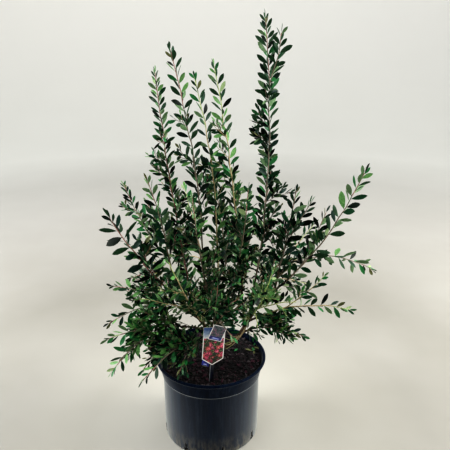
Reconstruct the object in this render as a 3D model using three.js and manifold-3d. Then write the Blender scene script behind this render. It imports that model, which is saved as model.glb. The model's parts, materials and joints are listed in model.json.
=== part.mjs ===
// A young weeping bottlebrush shrub in a black nursery container. A short trunk forks low into
// limbs, each bough ends in a leafy mass, and a plain two-card plant label stands in the bark.
// Millimetres, +Z up, +X to the viewer's right and -Y towards the viewer. The origin is the
// centre of the container's flat underside.
import * as THREE from "three";
import { mergeVertices } from "three/addons/utils/BufferGeometryUtils.js";
import Module from "manifold-3d";

const wasm = await Module();
wasm.setup();

// Clearance between sub-parts that rest against each other.
const GAP = 0.3;

// Container: a rolled lip over a flared collar, a step, and a body that tapers to its foot.
const POT_HEIGHT = 319;
const LIP_RADIUS = 203;
const LIP_HEIGHT = 11;
const LIP_ROUNDING = 3;
const COLLAR_RADIUS = 197;
const COLLAR_FOOT_RADIUS = 182;
const COLLAR_HEIGHT = 65;
const STEP_IN = 3;
const FOOT_RADIUS = 177;
const FOOT_ROUNDING = 7;
const POT_WALL = 4;
const POT_SIDES = 32;

// Drains: each is a low hole in the foot's edge with a slit that runs up the wall from it.
const DRAIN_COUNT = 8;
const DRAIN_TURN = 14.5;
const DRAIN_WIDTH = 18;
const DRAIN_BOTTOM = 6;
const DRAIN_TOP = 18;
const DRAIN_DEPTH = 30;
const SLIT_WIDTH = 6;
const SLIT_TOP = 36;

// Potting bark: level round the trunk, and a little lower at the wall.
const BARK_LEVEL = 305;
const BARK_FLAT_RADIUS = 60;
const BARK_FALL = 3;

// The plant stands a little right of the container's middle.
const PLANT_MIDDLE = 11;

// Trunk: leans a little to the back, flares at the bark and ends at the fork.
const TRUNK_FOOT = new THREE.Vector3(16, 8, 277);
const TRUNK_RISE = new THREE.Vector3(3, 7, 78);
const TRUNK_RADIUS = 12;
const TRUNK_FLARE = 9;
const FLARE_FADE = 3;
const TRUNK_SIDES = 8;
const TRUNK_STEPS = 4;

// Limbs and boughs.
const LIMB_SIDES = 7;
const LIMB_STEPS = 3;
const BOUGH_SIDES = 5;
const BOUGH_STEPS = 2;
const BOUGH_BASE_RADIUS = 4.6;
const BOUGH_TIP_RADIUS = 3;

// Leafy masses: three-sided stems and twigs, with leaves in a golden-angle spiral.
const TWIG_SIDES = 3;
const STEM_TIP_RADIUS = 1.8;
const ARM_BASE_RADIUS = 2.4;
const TWIG_BASE_RADIUS = 1.4;
const TWIG_TIP_RADIUS = 1.2;
const TWIG_STEPS = 1;
const TWIG_SHARES = [0.06, 0.7];
const TWIG_SPREAD = [38, 14];
const TWIG_TURN_DRAW = 40;
const TWIG_SHORTENING = 0.45;
const TWIG_LENGTH_DRAW = [0.8, 0.3];
const TWIG_FOOT = 0.25;
const STEM_STEP = 130;
const LEAF_LENGTH = 64;
const LEAF_WIDTH = 23;
const LEAF_THICKNESS = 2.4;
const ARM_LEAF_SPACING = 35;
const TWIG_LEAF_SPACING = 46;
const LEAF_SPREAD = 48;
const LEAF_SPREAD_DRAW = 10;
const LEAF_LENGTH_DRAW = [0.85, 0.3];
const LEAF_FOOT = 0.3;
const LEAF_TWIST = 50;
const TIP_START = 0.75;
const TIP_END = 0.995;
const TIP_SPREAD = 26;
const TIP_LEAF_SPREAD = 6;
const TIP_LEAF_SHARE = 0.6;
const GOLDEN_ANGLE = 137.5;
const GOLDEN_SHARE = 0.618034;
const TURNS_TRIED = 5;
const SEEDS_PER_MASS = 10000;
const SEEDS_PER_ARM = 1000;
const SEEDS_PER_TWIG = 100;

// Room kept between the foliage of one mass and everything else, and inside one mass.
const CLEAR_OF_OTHERS = 8;
const CLEAR_OF_OWN_LEAVES = 8;
const CLEAR_OF_OWN_STEMS = 4;
const CLEAR_OF_POT = 10;

const up = new THREE.Vector3(0, 0, 1);
const radians = THREE.MathUtils.degToRad;

// Five limbs leave the trunk. Each row gives where on its parent it starts, as a share of the
// parent's length, its tip as a turn round the trunk, a reach and a height, how far it bows
// upwards as a share of its length, and its radii.
const LIMBS = [
  { name: "middle_limb", parent: "trunk", at: 1, tip: [75, 30, 505], bow: 0, radii: [10, 6.5] },
  { name: "left_limb", parent: "trunk", at: 0.8, tip: [180, 75, 495], bow: 0.05, radii: [9, 6] },
  { name: "right_limb", parent: "trunk", at: 0.6, tip: [0, 130, 487], bow: -0.12, radii: [10, 6.5] },
  { name: "front_limb", parent: "trunk", at: 0.7, tip: [263, 60, 445], bow: 0.04, radii: [7, 5] },
  { name: "back_limb", parent: "trunk", at: 0.75, tip: [82, 120, 475], bow: -0.05, radii: [8, 5.5] },
];

// Each mass has a bough, which is the bare share of its first arm. An arm is a leafy stem that
// runs to its tip (turn in degrees, reach and height). Later arms leave the first one at the
// share given by from. Twigs are counted on each arm, and reach is their greatest length.
const MASSES = [
  {
    name: "tall_far_left", parent: "left_limb", at: 0.93, bare: 0.14,
    arms: [{ tip: [174, 180, 1333], bow: -0.012, twigs: 3, reach: 90 }],
  },
  {
    name: "tall_left", parent: "left_limb", at: 0.62, bare: 0.2,
    arms: [{ tip: [206, 136, 1407], bow: 0.042, twigs: 3, reach: 90 }],
  },
  {
    name: "tall_thin", parent: "middle_limb", at: 1, bare: 0.18,
    arms: [{ tip: [117, 135, 1310], bow: 0.072, twigs: 3, reach: 80 }],
  },
  {
    name: "tall_middle", parent: "right_limb", at: 0.7, bare: 0.22,
    arms: [{ tip: [79, 31, 1355], bow: 0.02, twigs: 3, reach: 90 }],
  },
  {
    name: "tall_right", parent: "right_limb", at: 0.9, bare: 0.18,
    arms: [
      { tip: [20, 178, 1495], bow: -0.072, twigs: 4, reach: 90 },
      { tip: [5, 215, 1451], bow: -0.05, from: 0.76, twigs: 0, reach: 0 },
    ],
  },
  {
    name: "left_bough_tip", parent: "left_limb", at: 1, bare: 0.42,
    arms: [{ tip: [196.5, 345, 890], bow: -0.04, twigs: 3, reach: 80 }],
  },
  {
    name: "upper_left", parent: "left_bough_tip", at: 0.5, bare: 0.2,
    arms: [
      { tip: [183, 214, 985], bow: 0.03, twigs: 4, reach: 100 },
      { tip: [160, 338, 937], bow: -0.06, from: 0.15, twigs: 2, reach: 70 },
    ],
  },
  {
    name: "left_low", parent: "left_limb", at: 0.75, bare: 0.3,
    arms: [
      { tip: [172, 375, 573], bow: 0.08, twigs: 3, reach: 100 },
      { tip: [192, 372, 493], bow: 0.06, from: 0.12, twigs: 3, reach: 90 },
    ],
  },
  {
    name: "left_drooping", parent: "left_limb", at: 0.42, bare: 0.3,
    arms: [
      { tip: [203, 385, 473], bow: 0.1, twigs: 3, reach: 90 },
      { tip: [210, 390, 377], bow: 0.1, from: 0.2, twigs: 3, reach: 80 },
    ],
  },
  {
    name: "front_left_low", parent: "front_limb", at: 0.5, bare: 0.22,
    arms: [
      { tip: [231, 355, 397], bow: 0.14, twigs: 4, reach: 90 },
      { tip: [243, 245, 380], bow: 0.1, from: 0.12, twigs: 2, reach: 70 },
      { tip: [218, 300, 375], bow: 0.16, from: 0.2, twigs: 3, reach: 80 },
    ],
  },
  {
    name: "right_bough_tip", parent: "right_limb", at: 1, bare: 0.3,
    arms: [
      { tip: [0, 503, 1013], bow: -0.06, twigs: 3, reach: 80 },
      { tip: [8.5, 400, 855], bow: -0.03, from: 0.14, twigs: 2, reach: 70 },
      { tip: [7.5, 585, 627], bow: 0.09, from: 0.22, twigs: 2, reach: 60 },
    ],
  },
  {
    name: "right_low", parent: "right_limb", at: 0.83, bare: 0.3,
    arms: [
      { tip: [-9.5, 478, 547], bow: 0.1, twigs: 3, reach: 80 },
      { tip: [-15, 385, 683], bow: -0.03, from: 0.17, twigs: 2, reach: 70 },
    ],
  },
  {
    name: "right_drooping", parent: "right_limb", at: 0.55, bare: 0.26,
    arms: [
      { tip: [-15, 325, 445], bow: 0.14, twigs: 4, reach: 90 },
      { tip: [12, 315, 455], bow: 0.06, from: 0.12, twigs: 3, reach: 80 },
    ],
  },
  {
    name: "right_upper", parent: "right_bough_tip", at: 0.6, bare: 0.25,
    arms: [
      { tip: [15, 300, 927], bow: -0.02, twigs: 3, reach: 90 },
      { tip: [12, 350, 887], bow: 0.02, from: 0.2, twigs: 2, reach: 70 },
    ],
  },
  {
    name: "front_right", parent: "right_limb", at: 0.74, bare: 0.3,
    arms: [
      { tip: [-50, 300, 773], bow: -0.04, twigs: 3, reach: 90 },
      { tip: [-35, 330, 635], bow: 0.04, from: 0.14, twigs: 2, reach: 80 },
      { tip: [-55, 255, 550], bow: 0.08, from: 0.06, twigs: 2, reach: 80 },
    ],
  },
  {
    name: "front_left", parent: "front_limb", at: 0.8, bare: 0.28,
    arms: [
      { tip: [240, 262, 790], bow: -0.03, twigs: 4, reach: 90 },
      { tip: [222, 310, 655], bow: 0.04, from: 0.1, twigs: 2, reach: 80 },
    ],
  },
  {
    name: "front_middle", parent: "front_limb", at: 1, bare: 0.3,
    arms: [
      { tip: [274, 270, 735], bow: -0.03, twigs: 3, reach: 90 },
      { tip: [292, 235, 665], bow: 0.02, from: 0.14, twigs: 2, reach: 80 },
      { tip: [285, 255, 540], bow: 0.08, from: 0.06, twigs: 2, reach: 80 },
    ],
  },
  {
    name: "inner_left", parent: "middle_limb", at: 0.66, bare: 0.26,
    arms: [{ tip: [243, 135, 965], bow: -0.04, twigs: 5, reach: 110 }],
  },
  {
    name: "inner_right", parent: "middle_limb", at: 0.45, bare: 0.34,
    arms: [{ tip: [-30, 134, 975], bow: -0.05, twigs: 5, reach: 110 }],
  },
  {
    name: "back_left", parent: "back_limb", at: 0.6, bare: 0.3,
    arms: [
      { tip: [137, 350, 830], bow: -0.02, twigs: 3, reach: 110 },
      { tip: [150, 385, 535], bow: 0.08, from: 0.14, twigs: 2, reach: 100 },
    ],
  },
  {
    name: "back_middle_left", parent: "back_limb", at: 0.85, bare: 0.3,
    arms: [
      { tip: [110, 340, 865], bow: -0.03, twigs: 3, reach: 110 },
      { tip: [112, 400, 535], bow: 0.08, from: 0.14, twigs: 2, reach: 100 },
    ],
  },
  {
    name: "back_middle_right", parent: "back_limb", at: 1, bare: 0.3,
    arms: [
      { tip: [76, 350, 825], bow: -0.03, twigs: 3, reach: 110 },
      { tip: [84, 415, 520], bow: 0.08, from: 0.14, twigs: 2, reach: 100 },
      { tip: [95, 190, 995], bow: 0.03, from: 0.07, twigs: 2, reach: 100 },
    ],
  },
  {
    name: "back_right", parent: "back_limb", at: 0.72, bare: 0.3,
    arms: [
      { tip: [52, 355, 905], bow: -0.03, twigs: 3, reach: 110 },
      { tip: [55, 400, 525], bow: 0.1, from: 0.14, twigs: 2, reach: 100 },
    ],
  },
  {
    name: "back_far_right", parent: "back_limb", at: 0.45, bare: 0.36,
    arms: [
      { tip: [30, 440, 750], bow: -0.02, twigs: 3, reach: 100 },
      { tip: [30, 420, 505], bow: 0.08, from: 0.14, twigs: 2, reach: 90 },
    ],
  },
];

// Plant label: a card with a pointed foot on a stake, and a smaller card that hangs in front.
// The small card's place is from the foot of the label's axis, before the label is turned.
const LABEL_PLACE = new THREE.Vector3(7.5, -151, 0);
const LABEL_ROLL = 4;
const LABEL_TURN = 11;
const CARD_WIDTH = 75;
const CARD_BOTTOM = 372;
const CARD_SHOULDER = 396;
const CARD_TOP = 519;
const CARD_THICKNESS = 1.2;
const STAKE_WIDTH = 14;
const STAKE_DEPTH = 85;
const FLAP_WIDTH = 48;
const FLAP_HEIGHT = 63;
const FLAP_THICKNESS = 1.2;
const FLAP_PLACE = new THREE.Vector3(18, -9, 500);
const FLAP_ROLL = 20;
const FLAP_TIP_FORWARD = 9;
const BUTTON_RADIUS = 4;
const BUTTON_SIDES = 6;
const BUTTON_SIDE = 12;
const BUTTON_RISE = 2;
const LABEL_VIEW = 70;

// Finishes
const paint = (color, roughness) =>
  new THREE.MeshStandardMaterial({ color, roughness, metalness: 0 });
const POT_PLASTIC = paint(0x14161a, 0.42);
const BARK_MULCH = paint(0x2a1a12, 0.95);
const BARK = paint(0x5b4636, 0.85);
const TWIG_BARK = paint(0x6b5140, 0.8);
const LEAF_GREEN = paint(0x1d3a1f, 0.5);
const LABEL_CARD = paint(0xe6e4e2, 0.35);

// The same seed always draws the same numbers, so that every build grows the same plant.
function seeded(seed) {
  let state = seed;
  return () => {
    state = (state + 0x6d2b79f5) | 0;
    let t = Math.imul(state ^ (state >>> 15), 1 | state);
    t = (t + Math.imul(t ^ (t >>> 7), 61 | t)) ^ t;
    return ((t ^ (t >>> 14)) >>> 0) / 4294967296;
  };
}

// A least value and what a draw adds to it at most.
const drawn = ([least, more], draw) => least + more * draw();

// Solids

function solid(geometry) {
  const bare = geometry.clone();
  bare.deleteAttribute("normal");
  bare.deleteAttribute("uv");
  const merged = mergeVertices(bare, 1e-3);
  return new wasm.Manifold(
    new wasm.Mesh({
      numProp: 3,
      vertProperties: new Float32Array(merged.attributes.position.array),
      triVerts: new Uint32Array(merged.index.array),
    }),
  );
}

function geometryOf(made) {
  const { vertProperties, triVerts } = made.getMesh();
  const geometry = new THREE.BufferGeometry();
  geometry.setAttribute("position", new THREE.BufferAttribute(vertProperties, 3));
  geometry.setIndex(new THREE.BufferAttribute(triVerts, 1));
  geometry.computeVertexNormals();
  return geometry;
}

const shrub = new THREE.Group();

function addPart(name, made, material) {
  const mesh = new THREE.Mesh(geometryOf(made), material);
  mesh.name = name;
  shrub.add(mesh);
}

const largestOf = (made) =>
  made.decompose().reduce((best, piece) => (piece.volume() > best.volume() ? piece : best));

// A row of [radius, height] pairs turned round the vertical axis.
function turned(profile, sides) {
  const points = profile.map(([radius, height]) => new THREE.Vector2(radius, height));
  return new THREE.LatheGeometry(points, sides).rotateX(Math.PI / 2);
}

// A path of straight lengths between joints, evenly spaced along part of a curve. It keeps the
// curve's own direction at each place, so that two stretches of one curve meet face to face.
class JointedPath extends THREE.Curve {
  constructor(curve, { from = 0, to = 1, steps }) {
    super();
    this.steps = steps;
    this.curve = curve;
    this.ends = [from, to];
    this.joints = Array.from({ length: steps + 1 }, (_, i) =>
      curve.getPointAt(THREE.MathUtils.lerp(from, to, i / steps)),
    );
  }

  getPoint(share) {
    const place = THREE.MathUtils.clamp(share, 0, 1) * this.steps;
    const joint = Math.min(Math.floor(place), this.steps - 1);
    return this.joints[joint].clone().lerp(this.joints[joint + 1], place - joint);
  }

  getTangent(share) {
    return this.curve.getTangentAt(THREE.MathUtils.lerp(...this.ends, share));
  }
}

// A cylinder bent along a jointed path, with a radius for each share of its length.
function bentCylinder(path, radius, sides) {
  const { steps } = path;
  const geometry = new THREE.CylinderGeometry(1, 1, 1, sides, steps);
  const { normals, binormals } = path.computeFrenetFrames(steps);
  const place = geometry.attributes.position;
  for (let i = 0; i < place.count; i++) {
    const share = place.getY(i) + 0.5;
    const ring = Math.round(share * steps);
    const r = radius(share);
    const point = path
      .getPoint(share)
      .addScaledVector(normals[ring], -place.getX(i) * r)
      .addScaledVector(binormals[ring], place.getZ(i) * r);
    place.setXYZ(i, point.x, point.y, point.z);
  }
  return geometry;
}

const taper = (base, tip) => (share) => base + (tip - base) * share;

// Curves

function tipPoint([turn, reach, height]) {
  const angle = radians(turn);
  return new THREE.Vector3(PLANT_MIDDLE + reach * Math.cos(angle), reach * Math.sin(angle), height);
}

// From start to end, bulging upwards and inwards by bow, a share of the length.
function bowedCurve(start, end, bow) {
  const along = end.clone().sub(start);
  const length = along.length();
  along.normalize();
  const lift = up.clone().addScaledVector(along, -up.dot(along)).normalize();
  const control = start.clone().add(end).multiplyScalar(0.5).addScaledVector(lift, 2 * bow * length);
  return new THREE.QuadraticBezierCurve3(start, control, end);
}

// A unit vector that leans away from an axis by a spread, at a turn round that axis.
function leaning(axis, spread, turn) {
  const side = Math.abs(axis.z) < 0.95 ? up : new THREE.Vector3(1, 0, 0);
  const across = new THREE.Vector3().crossVectors(axis, side).normalize();
  const over = new THREE.Vector3().crossVectors(across, axis).normalize();
  const outwards = across
    .multiplyScalar(Math.cos(turn))
    .addScaledVector(over, Math.sin(turn));
  return axis
    .clone()
    .multiplyScalar(Math.cos(spread))
    .addScaledVector(outwards, Math.sin(spread))
    .normalize();
}

// Space: which mass or limb already fills each cell, so that foliage can keep clear of it.
const CELL = 10;
const SAMPLE_STEP = 5;
const filled = new Map();

function cellKey(x, y, z) {
  return `${x},${y},${z}`;
}

function fill(points, owner, clearance = 0) {
  for (const point of points) {
    const key = cellKey(...point.toArray().map((v) => Math.round(v / CELL)));
    if (!filled.has(key)) filled.set(key, []);
    filled.get(key).push({ point, owner, clearance });
  }
}

// The lowest that foliage may hang: over the bark, over the rim, or outside the container.
function floorAt(point) {
  const reach = Math.hypot(point.x, point.y);
  if (reach > LIP_RADIUS + CLEAR_OF_POT) return CLEAR_OF_POT;
  if (reach > COLLAR_RADIUS - POT_WALL - CLEAR_OF_POT) return POT_HEIGHT + CLEAR_OF_POT;
  return BARK_LEVEL + CLEAR_OF_POT;
}

function isFree(points, owner) {
  return points.every((point) => {
    if (point.z < floorAt(point)) return false;
    const [cx, cy, cz] = point.toArray().map((v) => Math.round(v / CELL));
    for (let x = cx - 1; x <= cx + 1; x++)
      for (let y = cy - 1; y <= cy + 1; y++)
        for (let z = cz - 1; z <= cz + 1; z++)
          for (const other of filled.get(cellKey(x, y, z)) ?? []) {
            const room = other.owner === owner ? other.clearance : CLEAR_OF_OTHERS;
            if (other.point.distanceTo(point) < room) return false;
          }
    return true;
  });
}

function samples(path, from = 0) {
  const count = Math.max(2, Math.ceil((path.getLength() * (1 - from)) / SAMPLE_STEP));
  return Array.from({ length: count + 1 }, (_, i) => path.getPoint(from + ((1 - from) * i) / count));
}

// Foliage also keeps clear of the label and of the view to it.
function fillLabelSpace() {
  const half = CARD_WIDTH / 2 + CELL;
  const points = [];
  for (let x = -half; x <= half; x += CELL)
    for (let z = BARK_LEVEL; z <= FLAP_PLACE.z + CARD_WIDTH / 2; z += CELL)
      for (let y = 0; y <= LABEL_VIEW; y += CELL)
        points.push(new THREE.Vector3(LABEL_PLACE.x + x, LABEL_PLACE.y - y, z));
  fill(points, "plant_label");
}

// Container and bark

const STEP_LEVEL = POT_HEIGHT - COLLAR_HEIGHT;
const COLLAR_TOP = POT_HEIGHT - LIP_HEIGHT;

function potWallRadius(height) {
  const { lerp } = THREE.MathUtils;
  if (height < STEP_LEVEL) {
    return lerp(FOOT_RADIUS, COLLAR_FOOT_RADIUS - STEP_IN, height / STEP_LEVEL);
  }
  const share = (height - STEP_LEVEL) / (COLLAR_TOP - STEP_LEVEL);
  return lerp(COLLAR_FOOT_RADIUS, COLLAR_RADIUS, share);
}

function makePot() {
  const outside = [
    [0, 0],
    [FOOT_RADIUS - FOOT_ROUNDING, 0],
    [potWallRadius(FOOT_ROUNDING), FOOT_ROUNDING],
    [potWallRadius(STEP_LEVEL - STEP_IN), STEP_LEVEL - STEP_IN],
    [COLLAR_FOOT_RADIUS, STEP_LEVEL],
    [COLLAR_RADIUS, COLLAR_TOP],
    [LIP_RADIUS, COLLAR_TOP + LIP_ROUNDING],
    [LIP_RADIUS, POT_HEIGHT - LIP_ROUNDING],
    [LIP_RADIUS - LIP_ROUNDING, POT_HEIGHT],
  ];
  const inside = [
    [COLLAR_RADIUS - POT_WALL, POT_HEIGHT - 1],
    [COLLAR_FOOT_RADIUS - POT_WALL, STEP_LEVEL],
    [potWallRadius(POT_WALL) - POT_WALL, POT_WALL],
    [0, POT_WALL],
  ];
  let pot = solid(turned([...outside, ...inside], POT_SIDES));
  for (let i = 0; i < DRAIN_COUNT; i++) {
    const turn = radians(DRAIN_TURN) + (2 * Math.PI * i) / DRAIN_COUNT;
    for (const [width, top] of [[DRAIN_WIDTH, DRAIN_TOP], [SLIT_WIDTH, SLIT_TOP]]) {
      const opening = new THREE.BoxGeometry(width, DRAIN_DEPTH, top - DRAIN_BOTTOM)
        .translate(0, FOOT_RADIUS, (top + DRAIN_BOTTOM) / 2)
        .rotateZ(turn);
      pot = pot.subtract(solid(opening));
    }
  }
  return pot;
}

// The inside of the collar runs straight from the step to the top of the wall.
function barkEdgeRadius() {
  const share = (BARK_LEVEL - BARK_FALL - STEP_LEVEL) / (POT_HEIGHT - 1 - STEP_LEVEL);
  return THREE.MathUtils.lerp(COLLAR_FOOT_RADIUS, COLLAR_RADIUS, share) - POT_WALL - 2 * GAP;
}

function makeBark() {
  const edge = BARK_LEVEL - BARK_FALL;
  return solid(
    turned(
      [
        [0, POT_WALL + GAP],
        [potWallRadius(POT_WALL) - POT_WALL - 2 * GAP, POT_WALL + GAP],
        [COLLAR_FOOT_RADIUS - POT_WALL - 2 * GAP, STEP_LEVEL],
        [barkEdgeRadius(), edge],
        [BARK_FLAT_RADIUS, BARK_LEVEL],
        [0, BARK_LEVEL],
      ],
      POT_SIDES,
    ),
  );
}

// Plant label

function outline(points) {
  return new THREE.Shape(points.map(([x, z]) => new THREE.Vector2(x, z)));
}

function upright(shape, thickness) {
  return new THREE.ExtrudeGeometry(shape, { depth: thickness, bevelEnabled: false })
    .translate(0, 0, -thickness / 2)
    .rotateX(Math.PI / 2);
}

function labelShape(margin) {
  const half = CARD_WIDTH / 2;
  const stake = STAKE_WIDTH / 2 + margin;
  return outline([
    [-half, CARD_TOP],
    [-half, CARD_SHOULDER],
    [-stake, CARD_BOTTOM],
    [-stake, BARK_LEVEL - STAKE_DEPTH + stake],
    [0, BARK_LEVEL - STAKE_DEPTH - margin],
    [stake, BARK_LEVEL - STAKE_DEPTH + stake],
    [stake, CARD_BOTTOM],
    [half, CARD_SHOULDER],
    [half, CARD_TOP],
  ]);
}

// The whole label is turned a little about its upright axis.
function placedLabel(geometry) {
  return solid(geometry.rotateZ(radians(LABEL_TURN)).translate(...LABEL_PLACE.toArray()));
}

// The card leans to one side about its pointed foot.
function makeLabel(margin) {
  const card = upright(labelShape(margin), CARD_THICKNESS + 2 * margin)
    .translate(0, 0, -CARD_BOTTOM)
    .rotateY(radians(LABEL_ROLL))
    .translate(0, 0, CARD_BOTTOM);
  return placedLabel(card);
}

// The small card hangs from a button on the big one, tipped forward and rolled to one side.
function makeFlap() {
  const half = FLAP_WIDTH / 2;
  const tall = FLAP_HEIGHT / 2;
  const card = upright(
    outline([
      [-half, -tall],
      [half, -tall],
      [half, tall],
      [-half, tall],
    ]),
    FLAP_THICKNESS,
  )
    .rotateX(radians(FLAP_TIP_FORWARD))
    .rotateY(radians(FLAP_ROLL))
    .translate(...FLAP_PLACE.toArray());
  const cardFace = -CARD_THICKNESS / 2 - GAP;
  const buttonLength = cardFace - FLAP_PLACE.y;
  const button = new THREE.CylinderGeometry(BUTTON_RADIUS, BUTTON_RADIUS, buttonLength, BUTTON_SIDES)
    .translate(BUTTON_SIDE, cardFace - buttonLength / 2, FLAP_PLACE.z + BUTTON_RISE);
  return placedLabel(card).add(placedLabel(button));
}

// Trunk, limbs and boughs: every one is remembered with its path and radius, so that what
// grows from it can start on its axis and be cut back to its surface.
const limbs = new Map();

function addLimb(name, path, radius, sides, { material = BARK, cutter } = {}) {
  let made = solid(bentCylinder(path, radius, sides));
  if (cutter) made = made.subtract(cutter);
  for (const limb of limbs.values()) {
    const swollen = (share) => limb.radius(share) + GAP;
    made = made.subtract(solid(bentCylinder(limb.path, swollen, limb.sides)));
  }
  limbs.set(name, { path, radius, sides });
  fill(samples(path), name);
  addPart(name, largestOf(made), material);
}

// The trunk starts below the bark's surface and is cut off flat there.
function makeTrunk() {
  const top = TRUNK_FOOT.clone().add(TRUNK_RISE);
  const path = new JointedPath(new THREE.LineCurve3(TRUNK_FOOT, top), { steps: TRUNK_STEPS });
  const radius = (share) => TRUNK_RADIUS + TRUNK_FLARE * Math.exp(-FLARE_FADE * share);
  const ground = new THREE.BoxGeometry(POT_HEIGHT, POT_HEIGHT, BARK_LEVEL + GAP)
    .translate(0, 0, (BARK_LEVEL + GAP) / 2);
  addLimb("trunk", path, radius, TRUNK_SIDES, { cutter: solid(ground) });
}

function makeLimbs() {
  for (const { name, parent, at, tip, bow, radii } of LIMBS) {
    const start = limbs.get(parent).path.getPoint(at);
    const path = new JointedPath(bowedCurve(start, tipPoint(tip), bow), { steps: LIMB_STEPS });
    addLimb(name, path, taper(...radii), LIMB_SIDES);
  }
}

const boughName = (mass) => `${mass}_bough`;

function makeBough(mass) {
  const parent = limbs.get(mass.parent) ?? limbs.get(boughName(mass.parent));
  const [main] = mass.arms;
  main.curve = bowedCurve(parent.path.getPoint(mass.at), tipPoint(main.tip), main.bow);
  const path = new JointedPath(main.curve, { to: mass.bare, steps: BOUGH_STEPS });
  const radius = taper(BOUGH_BASE_RADIUS, BOUGH_TIP_RADIUS);
  addLimb(boughName(mass.name), path, radius, BOUGH_SIDES, { material: TWIG_BARK });
}

// Leafy masses

// A small share between low and high that fills evenly however many are drawn.
const evenShare = (index, low, high) => low + (high - low) * ((0.5 + index * GOLDEN_SHARE) % 1);

const stepsFor = (length) => Math.max(2, Math.round(length / STEM_STEP));

function planArms(mass, massIndex) {
  const [main, ...others] = mass.arms;
  const length = main.curve.getLength();
  const from = mass.bare + GAP / length;
  main.path = new JointedPath(main.curve, { from, steps: stepsFor(length * (1 - from)) });
  for (const arm of others) {
    const curve = bowedCurve(main.path.getPoint(arm.from), tipPoint(arm.tip), arm.bow);
    arm.path = new JointedPath(curve, { steps: stepsFor(curve.getLength()) });
  }
  mass.arms.forEach((arm, armIndex) => {
    arm.seed = SEEDS_PER_MASS * (massIndex + 1) + SEEDS_PER_ARM * armIndex;
    arm.leafSpacing = ARM_LEAF_SPACING;
    arm.radius = taper(armIndex ? ARM_BASE_RADIUS : BOUGH_TIP_RADIUS, STEM_TIP_RADIUS);
    fill(samples(arm.path), mass.name, CLEAR_OF_OWN_STEMS);
  });
}

// Side twigs leave an arm in turn round it, longest near its foot.
function planTwigs(mass) {
  mass.twigs = [];
  for (const arm of mass.arms) {
    for (let i = 0; i < arm.twigs; i++) {
      const draw = seeded(arm.seed + i);
      const share = evenShare(i, ...TWIG_SHARES);
      const root = arm.path.getPoint(share);
      const turn = radians(GOLDEN_ANGLE * i + TWIG_TURN_DRAW * draw());
      const spread = radians(drawn(TWIG_SPREAD, draw));
      const direction = leaning(arm.path.getTangent(share), spread, turn);
      const length = arm.reach * (1 - TWIG_SHORTENING * share) * drawn(TWIG_LENGTH_DRAW, draw);
      const tip = root.clone().addScaledVector(direction, length);
      const path = new JointedPath(new THREE.LineCurve3(root, tip), { steps: TWIG_STEPS });
      if (!isFree(samples(path, TWIG_FOOT), mass.name)) continue;
      fill(samples(path), mass.name, CLEAR_OF_OWN_STEMS);
      const radius = taper(TWIG_BASE_RADIUS, TWIG_TIP_RADIUS);
      const seed = arm.seed + SEEDS_PER_TWIG * (i + 1);
      mass.twigs.push({ path, radius, seed, leafSpacing: TWIG_LEAF_SPACING });
    }
  }
}

// A flattened kite: its root and tip on the underside, and its two sides raised.
const unitLeaf = new THREE.TetrahedronGeometry(Math.sqrt(3))
  .rotateZ(-Math.PI / 4)
  .scale(Math.SQRT1_2, Math.SQRT1_2, 1)
  .translate(0, 1, 1)
  .scale(0.5, 0.5, 0.5);

// A four-faced leaf from its root along a direction. Its blade stands on edge beside the stem's
// axis, and a twist turns it about its own length.
function leafGeometry(root, direction, axis, twist, length) {
  const facing = new THREE.Vector3().crossVectors(axis, direction).normalize();
  facing.applyAxisAngle(direction, twist);
  const across = new THREE.Vector3().crossVectors(direction, facing);
  const frame = new THREE.Matrix4().makeBasis(
    across.multiplyScalar((LEAF_WIDTH * length) / LEAF_LENGTH),
    direction.clone().multiplyScalar(length),
    facing.multiplyScalar(LEAF_THICKNESS),
  );
  frame.setPosition(root);
  return unitLeaf.clone().applyMatrix4(frame);
}

function leafSamples(geometry, root, direction, length) {
  const place = geometry.attributes.position;
  const corners = Array.from({ length: place.count }, (_, i) =>
    new THREE.Vector3().fromBufferAttribute(place, i),
  ).filter((corner) => corner.distanceTo(root) > length * LEAF_FOOT);
  const along = [LEAF_FOOT, 0.45, 0.6, 0.75, 0.9, 1].map((share) =>
    root.clone().addScaledVector(direction, length * share),
  );
  return [...corners, ...along];
}

// Leaves climb a stem in a spiral, and a last one points on from its tip.
function growLeaves({ path, seed, leafSpacing }, owner) {
  const leaves = [];
  const { lerp, smoothstep } = THREE.MathUtils;
  const count = Math.max(2, Math.round(path.getLength() / leafSpacing));
  for (let i = 1; i <= count; i++) {
    const draw = seeded(seed + i);
    const share = (i - 0.2) / (count - 0.2);
    const last = i === count;
    const root = path.getPoint(Math.min(share, TIP_END));
    const axis = path.getTangent(Math.min(share, TIP_END));
    const nearTip = smoothstep(share, TIP_START, 1);
    const even = lerp(LEAF_SPREAD, TIP_SPREAD, nearTip);
    const spread = last ? TIP_LEAF_SPREAD : even + LEAF_SPREAD_DRAW * (draw() - 0.5);
    const length = LEAF_LENGTH * lerp(1, TIP_LEAF_SHARE, nearTip) * drawn(LEAF_LENGTH_DRAW, draw);
    const twist = radians(LEAF_TWIST * (2 * draw() - 1));
    for (let attempt = 0; attempt < TURNS_TRIED; attempt++) {
      const turn = radians(GOLDEN_ANGLE * (i + attempt * GOLDEN_SHARE));
      const direction = leaning(axis, radians(spread), turn);
      const geometry = leafGeometry(root, direction, axis, twist, length);
      const points = leafSamples(geometry, root, direction, length);
      if (!isFree(points, owner)) continue;
      fill(points, owner, CLEAR_OF_OWN_LEAVES);
      leaves.push(solid(geometry));
      break;
    }
  }
  return leaves;
}

function makeMass(mass) {
  const stems = [...mass.arms, ...mass.twigs];
  const leaves = stems.flatMap((stem) => growLeaves(stem, mass.name));
  const wood = stems.map(({ path, radius }) => solid(bentCylinder(path, radius, TWIG_SIDES)));
  const joined = [...wood, ...leaves].reduce((whole, piece) => whole.add(piece));
  addPart(mass.name, largestOf(joined), LEAF_GREEN);
}

// The whole plant

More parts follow.
